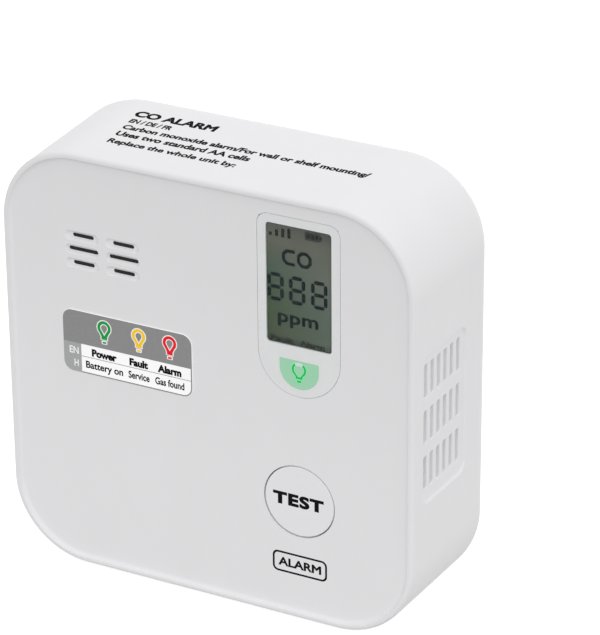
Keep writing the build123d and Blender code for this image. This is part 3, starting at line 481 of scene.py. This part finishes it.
def front_place(y):
    """Print coordinates on a plane that faces the front: u right, v up from the middle, w outwards."""
    return Matrix(((1, 0, 0, 0), (0, 0, -1, y), (0, 1, 0, MIDDLE.z), (0, 0, 0, 1)))


def back_place(y):
    """Print coordinates on a plane that faces the back, read from behind."""
    return Matrix(((-1, 0, 0, 0), (0, 0, 1, y), (0, 1, 0, MIDDLE.z), (0, 0, 0, 1)))


def top_place():
    """Print coordinates on the drafted top wall, read from the front; v runs back from the front rim."""
    low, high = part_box("front_housing")
    housing = NODES["front_housing"]
    hits = []
    for depth in (10 * MM, 25 * MM):
        above = Vector((0, low.y + depth, 2 * high.z))
        _, spot, _, _ = housing.ray_cast(above, Vector((0, 0, -1)))
        hits.append(spot)
    back = (hits[1] - hits[0]).normalized()
    up = Vector((1, 0, 0)).cross(back)
    start = hits[0] - back * ((hits[0].y - low.y) / back.y)
    rows = [(1, back.x, up.x, start.x), (0, back.y, up.y, start.y), (0, back.z, up.z, start.z), (0, 0, 0, 1)]
    return Matrix(rows)


def swollen(outline, by):
    """A closed outline moved to its right-hand side by a distance; it may cross itself."""
    moved = []
    for i, here in enumerate(outline):
        before, after = Vector(outline[i - 1]), Vector(outline[(i + 1) % len(outline)])
        here = Vector(here)
        along, onward = (here - before).normalized(), (after - here).normalized()
        lean = Vector((along.y + onward.y, -along.x - onward.x))
        moved.append(here + lean * (2 * by / max(lean.length_squared, 1.0)))
    return moved


def windings(spots, outlines):
    """How many times the outlines wind round each spot."""
    starts = np.concatenate([np.array(o) for o in outlines])
    ends = np.concatenate([np.roll(np.array(o), -1, axis=0) for o in outlines])
    (x, y), (x0, y0), (x1, y1) = spots.T[:, :, None], starts.T, ends.T
    side = (x1 - x0) * (y - y0) - (x - x0) * (y1 - y0)
    rising = (y0 <= y) & (y1 > y) & (side > 0)
    falling = (y0 > y) & (y1 <= y) & (side < 0)
    return rising.sum(axis=1) - falling.sum(axis=1)


def print_mesh(outlines, layer=1):
    """A thin closed solid, in metres, over the area that outlines in millimetres wind round."""
    points, edges = [], []
    for outline in outlines:
        first, count = len(points), len(outline)
        points += [Vector(point) for point in outline]
        edges += [(first + i, first + (i + 1) % count) for i in range(count)]
    flat, _, triangles, _, _, _ = delaunay_2d_cdt(points, edges, [], 0, SAME_POINT)
    middles = np.array([sum((flat[i] for i in t), Vector((0, 0))) / 3 for t in triangles])
    kept = [t for t, winding in zip(triangles, windings(middles, outlines)) if winding > 0]
    walls = {(t[i - 1], t[i]) for t in kept for i in range(3)}
    walls = [(i, j) for i, j in walls if (j, i) not in walls]
    used = sorted({i for t in kept for i in t})
    place_of = {old: new for new, old in enumerate(used)}
    total = len(used)
    levels = (PRINT * (layer - 1 + LIFT), PRINT * layer)
    vertices = [(flat[i].x * MM, flat[i].y * MM, level) for level in levels for i in used]
    faces = [[place_of[i] for i in reversed(t)] for t in kept]
    faces += [[place_of[i] + total for i in t] for t in kept]
    for i, j in walls:
        low_i, low_j = place_of[i], place_of[j]
        faces.append([low_i, low_j, low_j + total, low_i + total])
    mesh = bpy.data.meshes.new("print")
    mesh.from_pydata(vertices, [], faces)
    return mesh


def turning(outline):
    """Twice the area of an outline, positive when it runs counter-clockwise."""
    return sum(a[0] * b[1] - b[0] * a[1] for a, b in zip(outline, outline[1:] + outline[:1]))


def letter_outlines(words, spacing=1.0):
    """The outlines of each letter of a line at size 1, with the outer ones counter-clockwise."""
    curve = bpy.data.curves.new("letters", "FONT")
    curve.body = words
    curve.space_character = spacing
    holder = bpy.data.objects.new("letters", curve)
    bpy.context.scene.collection.objects.link(holder)
    bpy.context.view_layer.update()
    glyphs = {}
    for spline in holder.to_curve(bpy.context.evaluated_depsgraph_get()).splines:
        outline = []
        knots = list(spline.bezier_points)
        for knot, after in zip(knots, knots[1:] + knots[:1]):
            bend = interpolate_bezier(knot.co, knot.handle_right, after.handle_left, after.co, CURVE_STEPS)
            straight = "VECTOR" in (knot.handle_right_type, after.handle_left_type)
            outline += [point.xy for point in (bend[:1] if straight else bend[:-1])]
        apart = [(p - outline[i - 1]).length > SAME_POINT for i, p in enumerate(outline)]
        outline = [tuple(p) for p, is_new in zip(outline, apart) if is_new]
        glyphs.setdefault(spline.character_index, []).append(outline)
    holder.to_curve_clear()
    bpy.data.objects.remove(holder)
    for glyph in glyphs.values():
        if max((turning(outline) for outline in glyph), key=abs) < 0:
            for outline in glyph:
                outline.reverse()
    return list(glyphs.values())


CAPITAL = max(point[1] for point in letter_outlines("H")[0][0])


def text_meshes(words, left, right, base, capital, bold=0.0, layer=1, spacing=1.0):
    """Lettering between two edges, on a baseline, with capitals of a given height, all in millimetres."""
    glyphs = letter_outlines(words, spacing)
    across = [x for glyph in glyphs for outline in glyph for x, _ in outline]
    start, end = min(across) - bold, max(across) + bold
    wide, tall = (right - left) / (end - start), capital / (CAPITAL + 2 * bold)
    meshes = []
    for glyph in glyphs:
        outlines = [swollen(outline, bold) for outline in glyph]
        sized = [[(left + (x - start) * wide, base + (y + bold) * tall) for x, y in o] for o in outlines]
        meshes.append(print_mesh(sized, layer))
    return meshes


def shape_mesh(outlines, layer=1):
    """A flat print inside the first outline and outside the others."""
    ways = [1] + [-1] * (len(outlines) - 1)
    return print_mesh([o if turning(o) * way > 0 else o[::-1] for o, way in zip(outlines, ways)], layer)


def piece(name, meshes, spot, material, body="housing"):
    """Joins print meshes into one piece, sets it on a surface and lets it ride on a body."""
    vertices, faces = [], []
    for mesh in meshes:
        first = len(vertices)
        vertices += [spot @ v.co for v in mesh.vertices]
        faces += [[first + i for i in face.vertices] for face in mesh.polygons]
        bpy.data.meshes.remove(mesh)
    joined = bpy.data.meshes.new(name)
    joined.from_pydata(vertices, [], faces)
    joined.materials.append(material)
    made = bpy.data.objects.new(name, joined)
    bpy.context.scene.collection.objects.link(made)
    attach(made, body)


def arc(centre, radius, start, end, steps=12):
    """Points on an arc, angles in degrees."""
    turns = [radians(start + (end - start) * i / steps) for i in range(steps + 1)]
    return [(centre[0] + radius * cos(t), centre[1] + radius * sin(t)) for t in turns]


def rounded(left, right, bottom, top, radius=(0, 0, 0, 0)):
    """A rectangle with corner radii, counter-clockwise from the upper right."""
    corners = ((right, top, -1, -1), (left, top, 1, -1), (left, bottom, 1, 1), (right, bottom, -1, 1))
    outline = []
    for i, ((x, z, toward_x, toward_z), r) in enumerate(zip(corners, radius)):
        if r:
            outline += arc((x + toward_x * r, z + toward_z * r), r, 90 * i, 90 * i + 90, 8)
        else:
            outline.append((x, z))
    return outline


def solid_box(left, right, bottom, top, radius=0, layer=1):
    """A filled rectangle with round corners."""
    return shape_mesh([rounded(left, right, bottom, top, [radius] * 4)], layer)


def hollow_box(left, right, bottom, top, line, outer_radius, inner_radius):
    """A rectangle drawn with a line of a given width."""
    outer = rounded(left, right, bottom, top, [outer_radius] * 4)
    inner = rounded(left + line, right - line, bottom + line, top - line, [inner_radius] * 4)
    return shape_mesh([outer, inner])


def bulb(x, z, radius, neck, shoulder, foot):
    """A lamp-bulb outline: a round head about (x, z) over a straight neck."""
    head = arc((x, z), radius, -46, 226, 28)
    left = [(x - neck, z - shoulder), (x - neck, z - foot)]
    right = [(x + neck, z - foot), (x + neck, z - shoulder)]
    return head + left + right


def drop(x, z, radius, tip):
    """A round outline drawn down to a tip."""
    return arc((x, z), radius, -32, 212, 24) + [(x, z - tip)]


def bar_at(x, z, half, tall, layer=1):
    """A small bar with round corners, centred on (x, z)."""
    return solid_box(x - half, x + half, z - tall / 2, z + tall / 2, 0.3 * tall, layer)


def bulb_meshes(x, z, layer):
    """The pale halo and the coloured line of a bulb mark, each with a bar for the bulb's cap."""
    shoulder = 2.1
    halo = [
        shape_mesh([bulb(x, z, 1.88, 0.95, shoulder, 2.9), drop(x, z, 0.74, 1.42)], layer),
        bar_at(x, z - 3.44, 0.72, 0.86, layer),
    ]
    line = [
        shape_mesh([bulb(x, z, 1.64, 0.7, shoulder, 2.74), drop(x, z, 0.96, 1.86)], layer + 1),
        bar_at(x, z - 3.46, 0.46, 0.42, layer + 1),
    ]
    return halo, line


# ---- lamp legend ----
# name, x, ink and glow of each bulb mark
LEGEND_LAMPS = (
    ("power", -24.95, (20, 148, 64), 0.0),
    ("fault", -16.42, (246, 184, 32), 0.14),
    ("alarm", -8.82, (230, 24, 34), 0.0),
)
# words with their left and right ends
LEGEND_WORDS = (("Power", -28.24, -22.03), ("Fault", -18.87, -14.29), ("Alarm", -11.85, -6.1))
LEGEND_NOTES = (("Battery on", -29.8, -20.55), ("Service", -19.2, -14.0), ("Gas found", -12.6, -5.45))
# words, left, right and baseline
LEGEND_CODES = (("EN", -33.79, -31.51, 2.03), ("H", -32.69, -31.63, -0.93))
WORD_BASE, WORD_CAPITAL, WORD_BOLD = 2.17, 1.8, 0.055
NOTE_BASE, NOTE_CAPITAL, NOTE_BOLD = -0.82, 1.7, 0.026
CODE_CAPITAL, CODE_BOLD = 1.65, 0.02
BULB_Z = 9.6
HEADER_Z = 4.65
COLUMN_X = -30.87
ROW_Z = 1.77


def print_legend(black):
    """A grey panel with three bulb marks over two rows of words."""
    low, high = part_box("legend_label")
    spot = front_place(low.y)
    left, right = low.x / MM, high.x / MM
    bottom, top = (low.z - MIDDLE.z) / MM, (high.z - MIDDLE.z) / MM
    edge, corner, trim = 0.34, 2.3, 0.05
    cells = rounded(COLUMN_X, right - edge, bottom + edge, HEADER_Z, (0, 0, 0, corner - edge))
    panel = rounded(left + trim, right - trim, bottom + trim, top - trim, [corner] * 4)
    grey = ink("legend_grey", paint(137, 137, 137))
    piece("legend_panel", [shape_mesh([panel, cells])], spot, grey)
    side = rounded(left + trim, COLUMN_X, bottom + trim, HEADER_Z, (0, 0, corner, 0))
    pale = ink("legend_pale_grey", paint(163, 164, 164))
    piece("legend_column", [shape_mesh([side], 2)], spot, pale)
    half_line = 0.07
    row = solid_box(COLUMN_X, right - edge, ROW_Z - half_line, ROW_Z + half_line)
    piece("legend_row_line", [row], spot, grey)
    # the pale ink glows a little: painted light on the bulb halos and the codes
    light = ink("legend_halo", paint(236, 240, 232), 0.5, 0.08)
    halos = []
    for name, x, color, glow in LEGEND_LAMPS:
        halo, line = bulb_meshes(x, BULB_Z, 2)
        halos += halo
        tint = ink(f"{name}_ink", paint(*color), glow=glow)
        piece(f"legend_{name}_mark", line, spot, tint)
    piece("legend_mark_halos", halos, spot, light)
    words = []
    for word, start, end in LEGEND_WORDS:
        words += text_meshes(word, start, end, WORD_BASE, WORD_CAPITAL, WORD_BOLD)
    for word, start, end in LEGEND_NOTES:
        words += text_meshes(word, start, end, NOTE_BASE, NOTE_CAPITAL, NOTE_BOLD)
    piece("legend_words", words, spot, black)
    codes = []
    for word, start, end, base in LEGEND_CODES:
        codes += text_meshes(word, start, end, base, CODE_CAPITAL, CODE_BOLD, 3)
    piece("legend_codes", codes, spot, light)


# ---- display ----
DIGITS = ((14.65, 18.45), (19.68, 23.48), (24.82, 28.62))
DIGIT_BASE, DIGIT_TOP = 24.83, 31.2
STROKE = 0.84
LETTER_STROKE, LETTER_CUT, HOLE_CUT = 0.72, 1.0, 0.6
# left, right, bottom and top
LETTER_C = (18.1, 21.1, 33.4, 37.0)
LETTER_O = (21.6, 25.0, 33.45, 37.05)
BATTERY_MARK = (23.5, 26.95, 40.0, 41.75)
SIGNAL_HEIGHTS = (0.75, 1.5, 1.95, 2.2)
SIGNAL_LEFT, SIGNAL_BASE, SIGNAL_PITCH, SIGNAL_WIDTH = 15.1, 39.45, 1.44, 0.72
# words, left, right, baseline, capital and bold
UNIT = ("ppm", 16.98, 26.48, 20.18, 3.0, 0.026)
DISPLAY_WORDS = (("Fault", 15.35, 20.6, 15.72, 1.15, 0.035), ("Alarm", 22.1, 27.95, 15.72, 1.15, 0.035))


def bar(start, end, stroke, gap=0.3):
    """A display segment between two points, drawn in at both ends."""
    (x0, z0), (x1, z1) = start, end
    length = ((x1 - x0) ** 2 + (z1 - z0) ** 2) ** 0.5
    ax, az = (x1 - x0) / length, (z1 - z0) / length
    half = stroke / 2
    outline = []
    side = [(gap, 0.45 * half), (gap + 0.7 * half, half)]
    side += [(length - along, off) for along, off in reversed(side)]
    for along, off in side + [(along, -off) for along, off in reversed(side)]:
        outline.append((x0 + ax * along - az * off, z0 + az * along + ax * off))
    return outline


def octagon(left, right, bottom, top, cut):
    """A box with its corners cut off, counter-clockwise from the upper right."""
    rows = ((right, top - cut), (right - cut, top), (left + cut, top), (left, top - cut))
    return [*rows, (left, bottom + cut), (left + cut, bottom), (right - cut, bottom), (right, bottom + cut)]


def digit(left, right, bottom, top):
    """The seven segments of an eight."""
    half = STROKE / 2
    x0, x1 = left + half, right - half
    z0, z2 = bottom + half, top - half
    z1 = (z0 + z2) / 2
    runs = [((x0, z), (x1, z)) for z in (z0, z1, z2)]
    runs += [((x, a), (x, b)) for x in (x0, x1) for a, b in ((z0, z1), (z1, z2))]
    return [shape_mesh([bar(start, end, STROKE)]) for start, end in runs]


def letter_edges(left, right, bottom, top):
    """The outer and the inner edge of a squared letter."""
    line = LETTER_STROKE
    hole = octagon(left + line, right - line, bottom + line, top - line, HOLE_CUT)
    return octagon(left, right, bottom, top, LETTER_CUT), hole


def letter_o(left, right, bottom, top):
    """A squared O."""
    return shape_mesh(letter_edges(left, right, bottom, top))


def letter_c(left, right, bottom, top):
    """A squared C: the left sides of both edges, drawn out to straight tips."""
    outer, inner = [edge[2:6] for edge in letter_edges(left, right, bottom, top)]
    upper_tip = [(right, top - LETTER_STROKE), (right, top)]
    lower_tip = [(right, bottom), (right, bottom + LETTER_STROKE)]
    return shape_mesh([upper_tip + outer + lower_tip + inner[::-1]])


def battery_mark(left, right, bottom, top):
    """A full battery: an outline, a stub at its end and three bars."""
    line, room = 0.2, 0.32
    bar_width, pitch = 0.86, 0.98
    meshes = [
        hollow_box(left, right, bottom, top, line, line, 0),
        solid_box(right + 0.02, right + 0.4, bottom + 0.45, top - 0.5),
    ]
    for step in range(3):
        x = left + room + pitch * step
        meshes.append(solid_box(x, x + bar_width, bottom + room, top - room))
    return meshes


def print_display():
    """The reading in dark segments, with paler small marks above and below it."""
    spot = front_place(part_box("display_front_film")[0].y)
    dark = ink("segment_dark", paint(14, 29, 33), 0.4, sheen=0.0)
    faint = ink("segment_faint", paint(34, 40, 37), 0.4, sheen=0.0)
    marks = []
    for left, right in DIGITS:
        marks += digit(left, right, DIGIT_BASE, DIGIT_TOP)
    marks += [letter_c(*LETTER_C), letter_o(*LETTER_O)]
    marks += text_meshes(*UNIT, spacing=1.04)
    piece("display_digits", marks, spot, dark)
    small = []
    for step, height in enumerate(SIGNAL_HEIGHTS):
        left = SIGNAL_LEFT + SIGNAL_PITCH * step
        small.append(solid_box(left, left + SIGNAL_WIDTH, SIGNAL_BASE, SIGNAL_BASE + height, 0.15))
    small += battery_mark(*BATTERY_MARK)
    for word in DISPLAY_WORDS:
        small += text_meshes(*word)
    piece("display_small_marks", small, spot, faint)


# ---- lamp window ----
LAMP_MARK = (22.1, 10.2)
LAMP_HEAD = 1.45


def lamp_bulb(x, z, width):
    """An open-topped bulb outline: two sides that draw in to a foot, drawn with a line of a width."""
    half = width / 2
    right = [(x + u, v) for u, v in arc((0, z), LAMP_HEAD + half, 50, -35, 10)]
    right += [(x + 0.62 + half, z - 1.5), (x + 0.5 + half, z - 1.9 - half)]
    left = [(2 * x - u, v) for u, v in reversed(right)]
    inner = [(x - u, v) for u, v in arc((0, z), LAMP_HEAD - half, 50, -35, 10)]
    inner += [(x - 0.7 + half, z - 1.45), (x - 0.5 + half, z - 1.9 + half)]
    return right + left + inner + [(2 * x - u, v) for u, v in reversed(inner)]


def print_lamp_window():
    """The bulb mark on the green pane, with a bright edge and a painted highlight: a pale arc across its
    head.
    """
    spot = front_place(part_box("lamp_window")[0].y)
    x, z = LAMP_MARK
    cap = z - 2.72
    line = [shape_mesh([lamp_bulb(x, z, 0.4)], 2), bar_at(x, cap, 0.46, 0.38, 2)]
    piece("lamp_mark", line, spot, ink("lamp_mark_ink", paint(20, 184, 88)))
    edge = [shape_mesh([lamp_bulb(x, z, 0.8)]), bar_at(x, cap, 0.66, 0.74)]
    piece("lamp_mark_edge", edge, spot, ink("lamp_edge_ink", paint(134, 232, 164)))
    # painted highlight: the pale arc over the bulb's head stands in for light caught on the pane
    head = arc((x, z), 1.72, 52, 128, 10) + arc((x, z), 0.85, 128, 52, 10)
    pale = ink("lamp_painted_highlight_ink", paint(200, 224, 208))
    piece("lamp_mark_painted_highlight", [shape_mesh([head], 3)], spot, pale)


# ---- case marks ----
# words, left, right, baseline behind the front rim, capital and bold
TOP_LINES = (
    ("CO ALARM", -29.5, -9.6, 22.5, 2.95, 0.052),
    ("EN / DE / FR", -28.7, -18.5, 19.2, 2.0, 0.045),
    ("Carbon monoxide alarm/For wall or shelf mounting/", -28.4, 30.4, 15.8, 2.15, 0.042),
    ("Uses two standard AA cells", -28.0, 4.2, 12.3, 2.3, 0.04),
    ("Replace the whole unit by:", -27.7, 3.0, 8.45, 2.1, 0.038),
)
# words, left, right, baseline, capital and bold
BUTTON_WORD = ("TEST", 15.65, 27.77, -22.42, 2.95, 0.055)
BOXED_WORD = ("ALARM", 16.8, 27.1, -37.4, 2.05, 0.035)
# left, right, bottom, top, line and corner radii
WORD_BOX = (15.4, 28.5, -38.9, -33.9, 0.45, 1.3, 0.9)


def print_case(black):
    """Lettering on the top wall and the button, and a boxed word under the button."""
    lines = []
    for words, left, right, base, capital, bold in TOP_LINES:
        lines += text_meshes(words, left, right, base, capital, bold)
    piece("top_lettering", lines, top_place(), black)
    button = text_meshes(*BUTTON_WORD, spacing=1.14)
    button_front = front_place(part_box("test_button")[0].y)
    piece("button_lettering", button, button_front, black, "test_button")
    face = front_place(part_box("display_overlay")[0].y)
    mark = [hollow_box(*WORD_BOX)] + text_meshes(*BOXED_WORD)
    piece("plain_mark", mark, face, black)


# words, width, baseline below the label's top edge, capital and bold
RATING_LINES = (
    ("CO ALARM", 14, 4.2, 2.0, 0.025),
    ("DC 3 V  2 x AA", 13.5, 7.6, 1.35, 0.008),
    ("Indoor use", 9.5, 10.4, 1.35, 0.008),
    ("0 - 999 ppm", 10.5, 13.2, 1.35, 0.008),
)


def print_back(black):
    """The rating label's plain lines and its empty date table."""
    low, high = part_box("rating_label")
    spot = back_place(high.y)
    top = (high.z - MIDDLE.z) / MM
    left, right = low.x / MM + 2, high.x / MM - 2
    lines = []
    for words, width, drop_to, capital, bold in RATING_LINES:
        lines += text_meshes(words, left, left + width, top - drop_to, capital, bold)
    table = right - 11
    lines.append(hollow_box(table, right, top - 13.6, top - 2.4, 0.25, 0.8, 0.6))
    for row in range(4):
        height = top - 5.0 - 2.2 * row
        lines.append(solid_box(table + 0.3, right - 0.3, height, height + 0.15))
    piece("rating_lettering", lines, spot, black)


# ---- battery door ----
DIAGRAM_THICK = 0.12 * MM
DIAGRAM_ROW = 7.5


def cell_diagram(x, z, way):
    """One cell's outline with its nub, a plus and a minus; way is 1 with the nub on the right, or -1."""
    nub, plus, minus = x + way * 22.8, x + way * 17, x - way * 17
    long, thin = 1.8, 0.35
    return [
        hollow_box(x - 22, x + 22, z - 4.4, z + 4.4, 0.5, 0.8, 0.5),
        solid_box(nub - 0.8, nub + 0.8, z - 1.5, z + 1.5, 0.3),
        solid_box(plus - long, plus + long, z - thin, z + thin),
        solid_box(plus - thin, plus + thin, z + thin, z + long),
        solid_box(plus - thin, plus + thin, z - long, z - thin),
        solid_box(minus - long, minus + long, z - thin, z + thin),
    ]


def mould_door_diagram(case):
    """Raised outlines of the two cells with their signs, on the inner side of the battery door."""
    low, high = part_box("battery_door")
    middle = (low + high) / 2
    inside = Vector((middle.x, low.y - 20 * MM, middle.z))
    _, inner, _, _ = NODES["battery_door"].ray_cast(inside, Vector((0, 1, 0)))
    spot = front_place(inner.y)
    x, z = middle.x / MM, (middle.z - MIDDLE.z) / MM
    meshes = cell_diagram(x, z + DIAGRAM_ROW, 1) + cell_diagram(x, z - DIAGRAM_ROW, -1)
    for mesh in meshes:
        for vertex in mesh.vertices:
            vertex.co.z *= DIAGRAM_THICK / PRINT
    piece("door_diagram", meshes, spot, case, "battery_door")


# ---- button spring ----
def fit_return_spring():
    """The button's spring as a piece of its own that rides on the housing, in place of the CAD spring, which
    is hidden.
    """
    stiff = NODES["button_spring"]
    spring = bpy.data.objects.new("return_spring", stiff.data.copy())
    spring.matrix_world = stiff.matrix_world.copy()
    bpy.context.scene.collection.objects.link(spring)
    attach(spring, "housing")
    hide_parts("button_spring")
    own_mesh(spring)


# ---- studio ----
FLOOR_HALF = 4.0
FLOOR_GAP = 0.05 * MM
DOME_SLOPE = (0.172, -0.115, 0.479)  # how the dome brightens along each axis
DOME_LEVEL = 0.634


def add_floor():
    """A plain white floor that glows a little and throws no light on the case."""
    half = FLOOR_HALF
    mesh = bpy.data.meshes.new("floor")
    corners = [(-half, -half, 0), (half, -half, 0), (half, half, 0), (-half, half, 0)]
    mesh.from_pydata(corners, [], [(0, 1, 2, 3)])
    material, tree, shader = new_material("floor_paper")
    blotches = ranged(tree, noise(tree, 30.0, 3.0), 0.985, 1.0)
    link(tree, shader, Base_Color=mixed(tree, blotches, neutral(0.28), neutral(0.32)), Roughness=0.9)
    link(tree, shader, Specular_IOR_Level=0.1, Emission_Color=neutral(1), Emission_Strength=0.86)
    mesh.materials.append(material)
    floor = bpy.data.objects.new("floor", mesh)
    floor.location.z = -FLOOR_GAP
    floor.visible_diffuse = False
    bpy.context.scene.collection.objects.link(floor)


def add_panel(name, spot, target, size, energy):
    """A soft rectangular light aimed at a point, itself out of sight."""
    lamp = bpy.data.lights.new(name, "AREA")
    lamp.shape = "RECTANGLE"
    lamp.size, lamp.size_y = size
    lamp.energy = energy
    panel = bpy.data.objects.new(name, lamp)
    panel.location = spot
    panel.rotation_euler = (Vector(target) - panel.location).to_track_quat("-Z", "Y").to_euler()
    panel.visible_camera = False
    panel.visible_glossy = False
    bpy.context.scene.collection.objects.link(panel)


def add_light():
    """A soft dome, brightest above, a low strip close in front and a panel far behind."""
    world = bpy.data.worlds.new("studio")
    bpy.context.scene.world = world
    world.use_nodes = True
    tree = world.node_tree
    way = add_node(tree, "ShaderNodeTexCoord").outputs["Generated"]
    lean = add_node(tree, "ShaderNodeVectorMath", {0: way, 1: DOME_SLOPE}, operation="DOT_PRODUCT")
    level = maths(tree, "ADD", lean.outputs["Value"], DOME_LEVEL)
    background = tree.nodes["Background"]
    background.inputs["Color"].default_value = (1.0, 0.998, 1.004, 1)
    tree.links.new(level, background.inputs["Strength"])
    low_front = Vector((0, -0.098, 0.012))
    add_panel("front_strip", low_front, low_front + Vector((0, 0.08, 0)), size=(0.4, 0.01), energy=0.017)
    add_panel("back_panel", (-0.35, 1.3, 0.25), (0, 0, 0.05), size=(1.2, 0.5), energy=6.5)


add_camera()
dress_frame()
BLACK = ink("black_ink", paint(9, 9, 10), sheen=0.05)
print_legend(BLACK)
print_display()
print_lamp_window()
print_case(BLACK)
print_back(BLACK)
mould_door_diagram(NODES["battery_door"].data.materials[0])
fit_return_spring()
add_floor()
add_light()
bpy.context.scene.view_settings.view_transform = "Standard"
